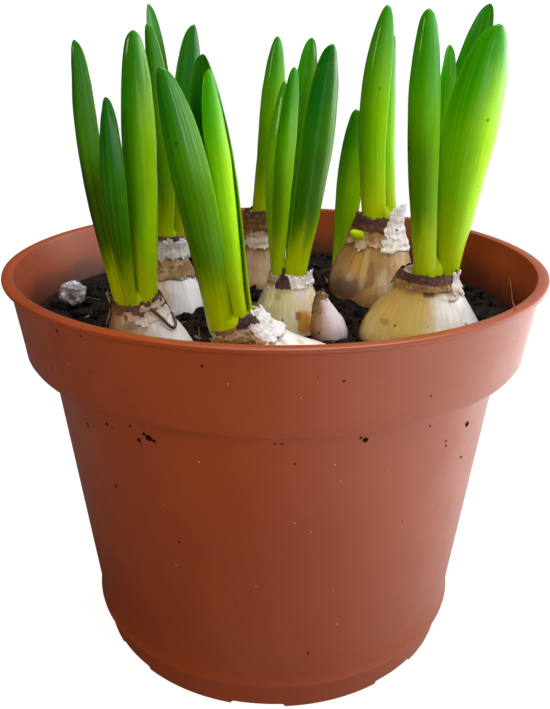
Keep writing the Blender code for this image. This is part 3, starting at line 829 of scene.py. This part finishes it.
def tearSheet(bulb, sheet, seed):
    low, high, ragged, middle, spread, out, flare, folds, lowTone, highTone, taper = sheet
    random.seed(seed)
    neck = bulb["neck"]
    rows = math.ceil((high - low + 2 * ragged) / tunic["row"])
    heights = [neck + low - ragged + n * tunic["row"] for n in range(rows + 1)]
    rings = []
    for height in heights:
        past = max(height - neck + 2.5, 0)
        grown = out + flare * (past / 3) ** 1.6 + folds * random.uniform(-0.4, 0.6)
        rings.append((bulbRadius(bulb, height) + grown, height, *bulbSway(bulb, height)))
    made = startRing("sheet", rings[0][0], rings[0][1], tunic["sides"])
    bpy.ops.transform.translate(value=(rings[0][2] * mm, rings[0][3] * mm, 0))
    raiseRings(rings)
    bpy.ops.mesh.select_all(action="SELECT")
    bpy.ops.mesh.normals_make_consistent(inside=False)

    def isTorn(centre):
        sway = bulbSway(bulb, centre.z / mm)
        angle = math.atan2(centre.y - sway[1] * mm, centre.x - sway[0] * mm)
        spin = Vector((2.2 * math.cos(angle), 2.2 * math.sin(angle), seed))
        fine = Vector((9 * math.cos(angle), 9 * math.sin(angle), seed))
        edge = noise.noise(spin) + 0.7 * noise.noise(fine)
        other = noise.noise(spin + Vector((0, 0, 7.7))) + 0.7 * noise.noise(fine + Vector((0, 0, 7.7)))
        height = centre.z / mm - neck
        gap = abs((math.degrees(angle) - middle + 180) % 360 - 180)
        rise = max(0, min(1, (height - low) / (high - low)))
        narrow = 1 - (taper * rise if taper > 0 else -taper * (1 - rise))
        side = spread * narrow + 0.25 * spread * noise.noise(Vector((height * 0.45, seed, 2)))
        past = height < low + ragged * edge or height > high + ragged * other
        return past or (spread < 180 and gap > side)

    pickFaces(made, isTorn)
    bpy.ops.mesh.delete(type="FACE")
    fray(tunic["fray"], seed)
    letGo()
    refine(made, "SOLIDIFY", thickness=tunic["thick"] * mm, offset=1)
    smoothUp(made, 1)
    cloudBumps(made, "crumple", tunic["crumpleSize"], tunic["crumple"] * (0.5 + folds))
    rises = [(vert.co.z / mm - neck - low) / (high - low) for vert in made.data.vertices]
    keepNumber(made, "skinTone", [lowTone + (highTone - lowTone) * max(0, min(1, rise)) for rise in rises])
    return made


def wrapNeck(place, bulb, finish, seed):
    torn = [tearSheet(bulb, sheet, 10 * seed + number) for number, sheet in enumerate(sheets[place])]
    made = joinAll(torn, "tunic_" + place + "_paper")
    roundUp(made, bulb)
    putInPlace(made, bulbStand(bulb))
    node = () if place == "offset" else ("tunic_" + place,)
    return finishPiece(made, finish, "dry_tunic", *node)


paper = makePaper()
for seed, place in enumerate(sheets):
    wrapNeck(place, bulbs[place], paper, seed)
print("tunics wrapped:", len(sheets))


# the leaves

leafShape = dict(
    sides=16, thick=1.9, baseCurl=0.7, midCurl=0.5, tipCurl=0.72, hook=0.9, outward=0.7,
    stations=(-0.08, 0.02, 0.12, 0.24, 0.38, 0.5, 0.62, 0.73, 0.82, 0.89, 0.94, 0.975, 1.0),
)
# base, tip, width, root: share of the width at the base, face: side the back looks to,
# bow: how far the middle bows in X and Y, tone: deep green, lime as painted light on the lit side,
# waxy lines as painted highlight, olive foot with painted shade, point: how pointed the tip is
leaves = {
    "front_left_1": dict(base=(-49, -47.5, 141.5), tip=(-56.5, -49, 216.5), width=13, root=0.65,
        face=218, bow=(-3, 0), tone=(0.9, 0.1, 0.5, 1), point=0.8),
    "front_left_2": dict(base=(-40, -48.5, 142.5), tip=(-38, -54, 219), width=10, root=0.5,
        face=280, bow=(0.5, -1), tone=(0.75, 0.85, 0.6, 0.1), point=0.3),
    "front_left_3": dict(base=(-37.5, -42.5, 143), tip=(-38, -35, 217.5), width=12, root=0.65,
        face=0, bow=(2, 0), tone=(0.3, 0.8, 0.7, 0.1)),
    "front_left_4": dict(base=(-44.5, -51, 142), tip=(-45.2, -63, 202.5), width=7.5, root=0.5,
        face=256, bow=(-1.2, -1), tone=(1, 0, 0.1, 0.6), point=0.7),
    "front_1": dict(base=(-17, -61.5, 138.5), tip=(-30.5, -65, 210), width=12.7, root=0.7,
        face=253, bow=(0.5, 0), tone=(0.85, 0.15, 1, 0.5), point=0.6),
    "front_2": dict(base=(-9.5, -61.5, 142), tip=(-17.3, -59, 209.5), width=8, root=0.5,
        face=300, bow=(0, 0), tone=(0, 1, 0.5, 0), point=0.7),
    "front_3": dict(base=(-9, -54, 142.5), tip=(-19.5, -46, 213), width=14, root=0.7,
        face=55, bow=(0.5, 1), tone=(0.9, 0.1, 1, 0.2), point=0.8),
    "front_right_1": dict(base=(47.5, -37, 147.5), tip=(42.7, -37, 225.5), width=10, root=0.7,
        face=258, bow=(-1.2, 0), tone=(0.4, 0.1, 0.3, 0.6), point=0.3),
    "front_right_2": dict(base=(57, -31.5, 147), tip=(63.8, -37, 221.5), width=18.5, root=0.34,
        face=277, bow=(-1, 0), tone=(0.3, 0.95, 0.4, 0.1), point=0.5),
    "front_right_3": dict(base=(48.5, -26, 147.5), tip=(51.5, -24, 216), width=7, root=0.6,
        face=100, bow=(1, 1), tone=(0, 1, 0.6, 0)),
    "front_right_4": dict(base=(53.5, -24, 147), tip=(66, -14, 228), width=12, root=0.7,
        face=62, bow=(-1.5, 1), tone=(0.6, 0.5, 0.5, 0), point=0.7),
    "back_left_1": dict(base=(-41.5, 7, 151.5), tip=(-44.5, 11, 228.5), width=9.5, root=0.75,
        face=140, bow=(1, 0), tone=(0.7, 0.2, 0.4, 0.1), point=1),
    "back_left_2": dict(base=(-41, -1.5, 151.5), tip=(-43, -3, 222), width=9, root=0.75,
        face=246, bow=(1.5, 0), tone=(0.8, 0.2, 0.4, 0.2), point=0.7),
    "back_left_3": dict(base=(-34, 2.5, 151), tip=(-26.5, 4, 222), width=14, root=0.5,
        face=320, bow=(1.5, 0), tone=(1, 0.1, 0.6, 0.1), point=0.9),
    "middle_1": dict(base=(0.5, -22, 143), tip=(5, -28, 209.5), width=6.5, root=0.6,
        face=257, bow=(-1, -1), tone=(0.35, 0.3, 0.4, 0.45)),
    "middle_2": dict(base=(8.5, -22.5, 143.5), tip=(18, -20, 216), width=13.5, root=0.62,
        face=301, bow=(1.2, 0), tone=(1, 0.2, 0.4, 0.5), point=0.7),
    "middle_3": dict(base=(7.5, -13, 143.5), tip=(11.5, -6, 218), width=9, root=0.75,
        face=79, bow=(-1, 1), tone=(0.2, 0.6, 0.6, 0)),
    "middle_4": dict(base=(-1, -15.5, 143), tip=(1, -14, 205), width=11, root=0.7,
        face=195, bow=(-3.5, 1), tone=(0.2, 0.6, 0.4, 0.15), point=0.7),
    "back_1": dict(base=(-5.5, 35, 153.5), tip=(0, 35, 219), width=9.5, root=0.85,
        face=262, bow=(0, 0), tone=(0.3, 0.4, 0.5, 0.3), point=0.9),
    "back_2": dict(base=(-5.5, 45, 153.5), tip=(1.5, 47, 206), width=10, root=0.8,
        face=85, bow=(0, 1), tone=(0.4, 0.3, 0.5, 0.2)),
    "back_right_1": dict(base=(36, 16, 154.5), tip=(37.5, 16, 229), width=11.2, root=0.86,
        face=245, bow=(-3, 0), tone=(0.3, 0.4, 0.4, 0.1), point=0.8),
    "back_right_2": dict(base=(46.5, 23, 154), tip=(43.5, 25, 219.5), width=12, root=0.7,
        face=330, bow=(-1, 1), tone=(0.15, 0.5, 0.4, 0)),
    "side_shoot": dict(base=(25, 35, 127), tip=(29.3, 30, 193.5), width=12, root=0.5,
        face=240, bow=(0, 0), tone=(0.35, 1, 0.3, 0), point=0.6),
}


def makeLeafGreen():
    finish, bench, sockets = newFinish("hyacinthLeaf", 0.3, Specular_IOR_Level=0.06, Coat_Roughness=0.14)
    along, across, side = bench.number("leafAlong"), bench.number("leafAcross"), bench.number("leafSide")
    deep, paintedLight = bench.number("leafDeep"), bench.number("leafPaintedLight")
    waxHighlight, olive, seed = bench.number("leafWaxHighlight"), bench.number("leafOlive"), bench.number("leafSeed")
    spread = bench.vector(across, seed, along)
    grain = useGroup(bench, fibres, Vector=spread, Count=15.0, Length=1.3)
    cloudy = bench.noise(bench.stretch(spread, (0.9, 7, 2.4)), 1.7, 3, 0.5)
    shift = bench.maths("MULTIPLY", bench.maths("SUBTRACT", cloudy, 0.5), 0.7)
    height = bench.maths("ADD", along, bench.maths("MULTIPLY", shift, 0.4))
    top = bench.mix(deep, linear(64, 176, 0), linear(0, 100, 0))
    middle = bench.mix(deep, linear(136, 208, 0), linear(48, 124, 0))
    colour = bench.mix(bench.span(height, 0.42, 0.86), middle, top)
    # painted light: lime on the side that looks right, towards the lamps, as light shining through the leaf
    lit = bench.span(bench.maths("ADD", side, shift), -0.5, 0.75)
    lit = bench.maths("MULTIPLY", lit, bench.span(height, 0.98, 0.6))
    colour = bench.mix(bench.maths("MULTIPLY", paintedLight, lit), colour, linear(186, 248, 0))
    foot = bench.span(height, 0.34, 0.02)
    colour = bench.mix(bench.maths("MULTIPLY", foot, 0.75), colour, linear(196, 204, 0))
    # olive dulling of the lower middle, the leaf's own colour, faded out on the lit right side: partly
    # painted shade
    dullAndShade = bench.maths("MULTIPLY", bench.span(height, 0.72, 0.42), bench.span(height, 0.08, 0.28))
    dullAndShade = bench.maths("MULTIPLY", bench.maths("MULTIPLY", dullAndShade, olive), bench.span(side, 1.3, 0.1))
    colour = bench.mix(dullAndShade, colour, linear(46, 60, 0))
    yellowed = useGroup(bench, patches, Vector=bench.place(), Scale=55.0, Amount=0.3, Edge=0.12)["Mask"]
    yellowed = bench.maths("MULTIPLY", bench.maths("MULTIPLY", yellowed, olive), 0.6)
    colour = bench.mix(yellowed, colour, linear(140, 140, 0))
    colour = bench.mix(bench.maths("MULTIPLY", grain["Lines"], 0.13), colour, linear(24, 92, 0))
    colour = bench.mix(bench.maths("MULTIPLY", grain["Bands"], 0.08), colour, linear(130, 226, 0))
    # painted highlight: pale waxy lines near the tip, only on the side that looks right
    high = bench.maths("MULTIPLY", bench.span(height, 0.5, 0.78), bench.span(height, 1.0, 0.9))
    waxHighlightLines = bench.maths("MULTIPLY", bench.maths("MULTIPLY", high, waxHighlight), bench.span(side, 0.0, 0.6))
    waxHighlightLines = bench.maths("MULTIPLY", waxHighlightLines, bench.maths("ADD", grain["Lines"], 0.2))
    colour = bench.mix(bench.maths("MULTIPLY", waxHighlightLines, 0.26), colour, linear(176, 226, 180))
    edge = bench.span(bench.maths("ABSOLUTE", across), 0.9, 1.0)
    colour = bench.mix(bench.maths("MULTIPLY", edge, 0.2), colour, linear(180, 226, 60))
    specks = useGroup(bench, speckles, Vector=bench.place(), Scale=300.0, Amount=0.012)["Mask"]
    colour = bench.mix(bench.maths("MULTIPLY", specks, 0.6), colour, linear(60, 44, 10))
    finish.node_tree.links.new(colour, sockets["Base Color"])
    gloss = bench.maths("ADD", bench.maths("MULTIPLY", bench.span(height, 0.55, 0.9), 0.6), 0.06)
    finish.node_tree.links.new(gloss, sockets["Coat Weight"])
    rough = bench.maths("ADD", bench.maths("MULTIPLY", grain["Lines"], 0.12), 0.26)
    finish.node_tree.links.new(rough, sockets["Roughness"])
    relief = bench.maths("ADD", grain["Lines"], bench.maths("MULTIPLY", grain["Bands"], 0.8))
    finish.node_tree.links.new(bench.bump(relief, 0.0001, 0.5), sockets["Normal"])
    return finish


def leafWidth(share, leaf):
    root = leaf["root"]
    rise = root + (1 - root) * math.sin(math.pi / 2 * max(0, min(share / 0.66, 1)))
    fall = max(0.0, 1 - (max(share - 0.6, 0) / 0.41) ** 2.2)
    return rise * fall ** (0.46 + 0.26 * leaf.get("point", 0.4))


def leafCurl(share):
    if share < 0.5:
        fall = (max(share, 0) / 0.5) ** 0.7
        return leafShape["baseCurl"] + (leafShape["midCurl"] - leafShape["baseCurl"]) * fall
    return leafShape["midCurl"] + (leafShape["tipCurl"] - leafShape["midCurl"]) * ((share - 0.5) / 0.5) ** 3


def leafSpine(leaf, share):
    # place of the back's middle, in mm, with the back looking along +X
    base, tip = Vector(leaf["base"]), Vector(leaf["tip"])
    middle = (base + tip) / 2 + 2 * Vector((*leaf["bow"], 0))
    spot = base * (1 - share) ** 2 + middle * 2 * share * (1 - share) + tip * share**2 - base
    spot = Matrix.Rotation(-math.radians(leaf["face"]), 3, "Z") @ spot
    spot.x -= leafShape["hook"] * max(share - 0.7, 0) ** 2 / 0.09
    spot.x += leafShape["outward"] * max(0.12 - share, 0) / 0.12
    return spot


def growLeaf(name, leaf, seed, finish, *nodes):
    half = leaf["width"] / 2
    made = startRing("leaf_" + name + "_blade", 1, 0, leafShape["sides"])
    bpy.ops.transform.resize(value=(leafShape["thick"] / 2, half, 1), center_override=(0, 0, 0))
    bpy.ops.transform.translate(value=(-leafShape["thick"] / 2 * mm, 0, 0))
    for level in (0.383, 0.707, 0.924, 1):  # bends the flat ring into a crescent
        pickVerts(made, lambda co: abs(abs(co.y) - level * half * mm) < 0.02 * half * mm)
        sag = leafShape["midCurl"] * half * level**2
        bpy.ops.transform.translate(value=(-sag * mm, 0, 0))
    bpy.ops.mesh.select_all(action="SELECT")
    sizes = [(leafWidth(s, leaf), leafCurl(s) / leafShape["midCurl"]) for s in leafShape["stations"]]
    spots = [leafSpine(leaf, s) for s in leafShape["stations"]]
    wide, curl = sizes[0]
    bpy.ops.transform.resize(value=(wide * curl, wide, 1), center_override=(0, 0, 0))
    bpy.ops.transform.translate(value=spots[0] * mm)
    for number in range(1, len(spots)):
        step = (spots[number] - spots[number - 1]) * mm
        bpy.ops.mesh.extrude_region_move(TRANSFORM_OT_translate={"value": step})
        (wide, curl), (lastWide, lastCurl) = sizes[number], sizes[number - 1]
        ratio = (wide * curl / (lastWide * lastCurl), wide / lastWide, 1)
        bpy.ops.transform.resize(value=ratio, center_override=spots[number] * mm)
    bpy.ops.mesh.merge(type="CENTER")
    closeEnds()
    length = spots[-1].z
    alongs = [vert.co.z / mm / length for vert in made.data.vertices]
    acrosses = []
    for vert, share in zip(made.data.vertices, alongs):
        spine = leafSpine(leaf, min(max(share, 0), 1))
        reach = half * max(leafWidth(min(max(share, 0), 1), leaf), 0.05)
        acrosses.append(max(-1, min(1, (vert.co.y / mm - spine.y) / reach)))
    keepNumber(made, "leafAlong", alongs)
    keepNumber(made, "leafAcross", acrosses)
    smoothUp(made, 2)
    cloudBumps(made, "waves", 16, 0.7)
    for key, value in zip(("leafDeep", "leafPaintedLight", "leafWaxHighlight", "leafOlive"), leaf["tone"]):
        keepNumber(made, key, [value] * len(made.data.vertices))
    keepNumber(made, "leafSeed", [seed * 1.37] * len(made.data.vertices))
    across = [entry.value for entry in made.data.attributes["leafAcross"].data]
    toRight = -math.sin(math.radians(leaf["face"]))
    keepNumber(made, "leafSide", [toRight * value for value in across])
    turn = Matrix.Rotation(math.radians(leaf["face"]), 4, "Z")
    putInPlace(made, Matrix.Translation(Vector(leaf["base"]) * mm) @ turn)
    return finishPiece(made, finish, "leaf", *nodes)


def roundWaves(piece, count):
    return [0.8 * math.sin(count * math.atan2(vert.co.y, vert.co.x)) for vert in piece.data.vertices]


def budUp(place, bulb, finish):
    # the pale heart between the leaves, which closes the neck
    neck, slim = bulb["neck"], bulb["slim"]
    sway = bulbSway(bulb, neck)
    tall = bulb.get("bud", 0.3)
    steps = ((0.68, -5), (0.66, -1), (0.6, 3), (0.5, 8), (0.36, 13), (0.18, 17), (0.05, 18.5))
    rings = [(slim * share, neck + rise * (tall if rise > 0 else 1), *sway) for share, rise in steps]
    made = startRing("bud_" + place + "_heart", rings[0][0], rings[0][1], 10)
    bpy.ops.transform.translate(value=(sway[0] * mm, sway[1] * mm, 0))
    raiseRings(rings)
    closeEnds()
    smoothUp(made, 2)
    cloudBumps(made, "waves", 6, 1.2)
    rises = [(vert.co.z / mm - neck) / 60 for vert in made.data.vertices]
    keepNumber(made, "leafAlong", rises)
    keepNumber(made, "leafAcross", roundWaves(made, 3))
    tones = dict(leafDeep=0.3, leafPaintedLight=0.2, leafWaxHighlight=0, leafOlive=0.4, leafSide=0, leafSeed=slim * 3.1)
    for key, value in tones.items():
        keepNumber(made, key, [value] * len(made.data.vertices))
    putInPlace(made, bulbStand(bulb))
    return finishPiece(made, finish, "leaf")


leafGreen = makeLeafGreen()
for place, bulb in bulbs.items():
    if place != "offset":
        budUp(place, bulb, leafGreen)
for seed, (name, leaf) in enumerate(leaves.items()):
    node = name if name == "side_shoot" else "leaf_" + name
    growLeaf(name, leaf, seed, leafGreen, node)
print("leaves grown:", len(leaves))


# the compost

compost = dict(
    level=124.5, brim=87.9, sides=120, lump=5.5, lumpSize=11, grit=2.2, gritSize=3.5,
    crumbs=900, fibres=60, black=(10, 6, 4), brown=(32, 20, 14),
    hollows=((-20, -22, 4, 20), (8, -38, 2.5, 14), (34, -2, 2.5, 16), (-62, -28, 2, 18)),
)


def makeSoil():
    finish, bench, sockets = newFinish("wetCompost", 0.85, Specular_IOR_Level=0.2)
    place = bench.place()
    broad = bench.span(bench.noise(place, 170, 5, 0.65), 0.35, 0.7)
    colour = bench.mix(broad, linear(*compost["black"]), linear(*compost["brown"]))
    grey = useGroup(bench, speckles, Vector=place, Scale=420.0, Amount=0.08)["Mask"]
    colour = bench.mix(bench.maths("MULTIPLY", grey, 0.6), colour, linear(104, 90, 78))
    finish.node_tree.links.new(colour, sockets["Base Color"])
    damp = bench.span(bench.noise(place, 300, 3, 0.5), 0.3, 0.6, 0.7, 0.98)
    finish.node_tree.links.new(damp, sockets["Roughness"])
    finish.node_tree.links.new(bench.bump(bench.noise(place, 800, 6, 0.7), 0.0008, 0.9), sockets["Normal"])
    return finish


def heapCompost(finish):
    level, brim = compost["level"], compost["brim"]
    side = [(66, 7.2), (66.5, 11.4), (69, 18.4), (79.4, 115.9), (87.2, 118.2), (brim, level - 1.5)]
    top = [(brim - 0.8, level)] + [(brim * (1 - n / 30), level) for n in range(1, 29)]
    made = startRing("compost_heap", side[0][0], side[0][1], compost["sides"])
    raiseRings([(radius, height, 0, 0) for radius, height in side + top])
    closeEnds()
    loose = made.vertex_groups.new(name="loose")
    for vert in made.data.vertices:
        reach = (brim * mm - vert.co.xy.length) / (5 * mm)
        if vert.co.z > (level - 0.2) * mm:
            loose.add([vert.index], max(0.0, min(1.0, reach)), "REPLACE")
    cloudBumps(made, "lumps", compost["lumpSize"], compost["lump"], "loose")
    pickVerts(made, lambda co: co.z > (level - 4) * mm)
    bpy.ops.mesh.subdivide(number_cuts=2)
    bpy.ops.object.mode_set(mode="OBJECT")
    cloudBumps(made, "clods", compost["gritSize"], compost["grit"], "loose")
    cloudBumps(made, "grit", 1.4, 1.2, "loose")
    for x, y, depth, wide in compost["hollows"]:
        spot = Vector((x, y, level)) * mm
        nearest = min(made.data.vertices, key=lambda vert: (vert.co - spot).length).co.copy()
        pickVerts(made, lambda co: (co - nearest).length < 0.01 * mm)
        bpy.ops.transform.translate(
            value=(0, 0, -depth * mm), use_proportional_edit=True,
            proportional_edit_falloff="SMOOTH", proportional_size=wide * mm,
        )
        bpy.ops.object.mode_set(mode="OBJECT")
    return finishPiece(made, finish, "compost", "potting_soil")


soil = makeSoil()
heap = heapCompost(soil)
print("compost heaped:", len(heap.data.polygons), "faces")


def groundAt(x, y):
    hit, spot, _, _ = heap.ray_cast(Vector((x, y, 300)) * mm, Vector((0, 0, -1)))
    return spot.z / mm if hit else compost["level"]


def clearOfBulbs(x, y, room):
    for bulb in bulbs.values():
        lift = compost["level"] - bulb["at"][2]
        lean = math.tan(math.radians(bulb["lean"])) * lift
        turn = math.radians(bulb["to"])
        middle = (bulb["at"][0] + lean * math.cos(turn), bulb["at"][1] + lean * math.sin(turn))
        if math.dist((x, y), middle) < bulbRadius(bulb, lift) + room:
            return False
    return True


def scatterCrumbs(finish):
    random.seed(11)
    shapes = []
    for number in range(6):
        letGo()
        bpy.ops.mesh.primitive_ico_sphere_add(subdivisions=1 + number % 2, radius=0.5)
        shape = bpy.context.object
        bpy.ops.object.mode_set(mode="EDIT")
        bpy.ops.mesh.select_all(action="SELECT")
        bpy.ops.transform.vertex_random(offset=0.16, uniform=0.1, normal=0, seed=number + 3)
        bpy.ops.object.mode_set(mode="OBJECT")
        shapes.append(shape)
    crumbs = []
    while len(crumbs) < compost["crumbs"]:
        x, y = random.uniform(-85, 85), random.uniform(-85, 85)
        size = random.choice((0.9, 1.2, 1.2, 1.6, 1.6, 2, 2.4, 3.2, 4.2))
        if math.hypot(x, y) > 86 - size or not clearOfBulbs(x, y, size * 0.4):
            continue
        crumb = random.choice(shapes).copy()
        crumb.data = crumb.data.copy()
        bpy.context.scene.collection.objects.link(crumb)
        crumb.location = Vector((x, y, groundAt(x, y) + size * 0.15)) * mm
        crumb.rotation_euler = [random.uniform(0, 6.28) for _ in range(3)]
        crumb.scale = [size * random.uniform(0.7, 1.2) * mm for _ in range(3)]
        crumbs.append(crumb)
    made = joinAll(crumbs, "compost_crumbs")
    putInPlace(made, made.matrix_world.copy())
    for shape in shapes:
        bpy.data.objects.remove(shape)
    return finishPiece(made, finish, "compost", sharp=45)


def bendStrand(name, points, thick, sides=5):
    # a thin tube through a few points
    line = bpy.data.curves.new(name, "CURVE")
    line.dimensions = "3D"
    line.bevel_depth = thick / 2 * mm
    line.bevel_resolution = 1
    line.use_fill_caps = True
    spline = line.splines.new("NURBS")
    spline.points.add(len(points) - 1)
    for spot, point in zip(points, spline.points):
        point.co = (*(Vector(spot) * mm), 1)
    spline.use_endpoint_u = True
    spline.order_u = 4
    spline.resolution_u = sides
    strand = bpy.data.objects.new(name, line)
    bpy.context.scene.collection.objects.link(strand)
    takeUp(strand)
    bpy.ops.object.convert(target="MESH")
    return bpy.context.object


def strewFibres(finish):
    random.seed(5)
    strands = []
    while len(strands) < compost["fibres"]:
        x, y = random.uniform(-80, 80), random.uniform(-80, 80)
        turn, reach = random.uniform(0, 6.28), random.uniform(3, 9)
        far = (x + reach * math.cos(turn), y + reach * math.sin(turn))
        if math.hypot(*far) > 84 or math.hypot(x, y) > 84:
            continue
        if not (clearOfBulbs(x, y, 1) and clearOfBulbs(*far, 1)):
            continue
        points = []
        for n in range(5):
            share = n / 4
            px = x + (far[0] - x) * share + random.uniform(-1, 1)
            py = y + (far[1] - y) * share + random.uniform(-1, 1)
            points.append((px, py, groundAt(px, py) + random.uniform(0.3, 1.8)))
        strands.append(bendStrand("strand", points, random.choice((0.3, 0.4, 0.6, 0.9))))
    made = joinAll(strands, "compost_fibres")
    return finishPiece(made, finish, "compost")


def makeBark():
    finish, bench, sockets = newFinish("peatFibre", 0.8)
    place = bench.place()
    share = bench.span(bench.noise(place, 140, 3), 0.35, 0.65)
    colour = bench.mix(share, linear(70, 50, 36), linear(128, 100, 76))
    finish.node_tree.links.new(colour, sockets["Base Color"])
    finish.node_tree.links.new(bench.bump(bench.noise(place, 900, 3), 0.0003, 0.6), sockets["Normal"])
    return finish


scatterCrumbs(soil)
strewFibres(makeBark())
print("crumbs and fibres strewn")


# the pumice

pumice = dict(at=(-75, 0, 129.5), size=(10, 8.5, 9), light=(226, 226, 230), shade=(140, 140, 146))


def makePumice():
    finish, bench, sockets = newFinish("pumiceStone", 0.85)
    place = bench.place()
    pits = bench.span(bench.noise(place, 420, 4, 0.7), 0.4, 0.62)
    colour = bench.mix(pits, linear(*pumice["shade"]), linear(*pumice["light"]))
    finish.node_tree.links.new(colour, sockets["Base Color"])
    finish.node_tree.links.new(bench.bump(pits, 0.0006, 0.9), sockets["Normal"])
    return finish


def dropPumice():
    letGo()
    bpy.ops.mesh.primitive_ico_sphere_add(subdivisions=5, radius=0.5 * mm)
    made = bpy.context.object
    made.name = made.data.name = "pumice_stone"
    putInPlace(made, Matrix.Diagonal((*pumice["size"], 1)))
    cloudBumps(made, "stone", 4.5, 4.2)
    cloudBumps(made, "faces", 3, 1.6, kind="VORONOI")
    cloudBumps(made, "pits", 1.2, 0.7)
    putInPlace(made, Matrix.Translation(Vector(pumice["at"]) * mm))
    return finishPiece(made, makePumice(), "pumice", "pumice_lump")


dropPumice()
print("pumice dropped")

# small things: dirt on the pot, a dry strip, a green nub and a root

# pixel of the 550 x 709 frame, and width in mm
dirt = (
    (57, 331, 1), (60, 326, 0.7), (81, 336, 0.7), (202, 366, 0.9), (107, 424, 1.4), (112, 428, 0.8),
    (130, 426, 0.8), (139, 440, 1.4), (149, 438, 2.4), (144, 434, 1.3), (154, 441, 1.3), (141, 444, 0.8),
    (365.5, 440, 1.7), (361, 438, 0.9), (430, 426, 0.7), (467, 424, 1.9), (446, 441, 0.8),
    (446, 446, 0.8), (461, 457, 1),
    (282, 444, 0.9), (275, 444, 0.7), (431, 396, 0.6), (344, 381, 0.7), (116, 486, 1),
    (179, 542, 0.8), (308, 653, 0.9), (236, 602, 0.5), (402, 521, 0.5), (90, 372, 0.5), (318, 377, 0.5),
)
dust = (
    (335, 465, 0.6), (341, 481, 0.5), (295, 523, 0.6), (311, 532, 0.5), (333, 590, 0.5), (337, 624, 0.6),
    (199, 462, 0.6), (256, 586, 0.5), (164, 505, 0.4), (388, 470, 0.4), (228, 384, 0.4), (301, 398, 0.4),
)
strip = (
    (159, 296), (165, 299), (168, 308), (172, 318), (175, 326), (172, 330), (165, 325), (158, 316),
    (150, 309),
)


def stickGrains(name, spots, finish, slotName, seed):
    random.seed(seed)
    grains = []
    for px, py, wide in spots:
        place, normal = spotOn(potPiece, px, py)
        letGo()
        bpy.ops.mesh.primitive_ico_sphere_add(subdivisions=2, radius=0.5)
        bpy.ops.object.mode_set(mode="EDIT")
        bpy.ops.mesh.select_all(action="SELECT")
        bpy.ops.transform.vertex_random(offset=0.14, uniform=0.1, normal=0, seed=random.randint(1, 999))
        bpy.ops.object.mode_set(mode="OBJECT")
        grain = bpy.context.object
        size = Matrix.Diagonal((wide * mm, wide * random.uniform(0.6, 1) * mm, wide * 0.5 * mm, 1))
        spin = Matrix.Rotation(random.uniform(0, 6.28), 4, "Z")
        lie = normal.to_track_quat("Z", "Y").to_matrix().to_4x4()
        putInPlace(grain, Matrix.Translation(place) @ lie @ spin @ size)
        grains.append(grain)
    return finishPiece(joinAll(grains, name), finish, slotName)


def makeDust():
    finish, bench, sockets = newFinish("paleDust", 0.8)
    colour = bench.mix(bench.noise(bench.place(), 900, 2), linear(190, 140, 112), linear(226, 190, 168))
    finish.node_tree.links.new(colour, sockets["Base Color"])
    return finish


def layStrip():
    points = []
    for px, py in strip:
        place, normal = spotOn(bulbPieces["front_left"], px, py)
        points.append((place + normal * 0.8 * mm) / mm)
    made = bendStrand("bulb_front_left_strip", points, 1, 8)
    keepNumber(made, "skinTone", [0.14] * len(made.data.vertices))
    return finishPiece(made, paper, "dry_tunic")


def sproutNub():
    # a second shoot that just breaks out of the back right bulb's neck
    base, _ = spotOn(bulbPieces["back_right"], 362, 236)
    made = startRing("bulb_back_right_nub", 1.5, -2, 10)
    raiseRings(
        [(1.5, -2, 0, 0), (1.9, 0, 0, 0), (1.8, 1.6, 0, 0), (1.9, 2.6, 0.1, 0), (1.4, 4.4, 0.3, 0),
         (0.5, 5.6, 0.6, 0)]
    )
    closeEnds()
    smoothUp(made, 2)
    cloudBumps(made, "waves", 2, 0.7)
    keepNumber(made, "leafAlong", [0.02 + vert.co.z / mm * 0.04 for vert in made.data.vertices])
    keepNumber(made, "leafAcross", roundWaves(made, 2))
    tones = dict(leafDeep=0, leafPaintedLight=1, leafWaxHighlight=0, leafOlive=0, leafSide=1, leafSeed=4.4)
    for key, value in tones.items():
        keepNumber(made, key, [value] * len(made.data.vertices))
    aim = Vector((-0.86, -0.3, 0.35)).to_track_quat("Z", "Y").to_matrix().to_4x4()
    putInPlace(made, Matrix.Translation(base) @ aim)
    return finishPiece(made, leafGreen, "leaf")


def hangRoot(finish):
    points = []
    for px, py in ((511, 279), (512, 286), (514, 294), (513, 302), (515, 310)):
        place, normal = spotOn(potPiece, px, py)
        points.append((place + normal * 0.5 * mm) / mm)
    return finishPiece(bendStrand("root_fibre", points, 0.5, 8), finish, "dry_tunic")


def makeRoot():
    finish, bench, sockets = newFinish("redRoot", 0.6)
    colour = bench.mix(bench.noise(bench.place(), 400, 3), linear(120, 52, 34), linear(168, 92, 62))
    finish.node_tree.links.new(colour, sockets["Base Color"])
    return finish


stickGrains("pot_dirt", dirt, soil, "compost", 21)
stickGrains("pot_dust", dust, makeDust(), "pumice", 22)
layStrip()
sproutNub()
hangRoot(makeRoot())
print("small things laid")
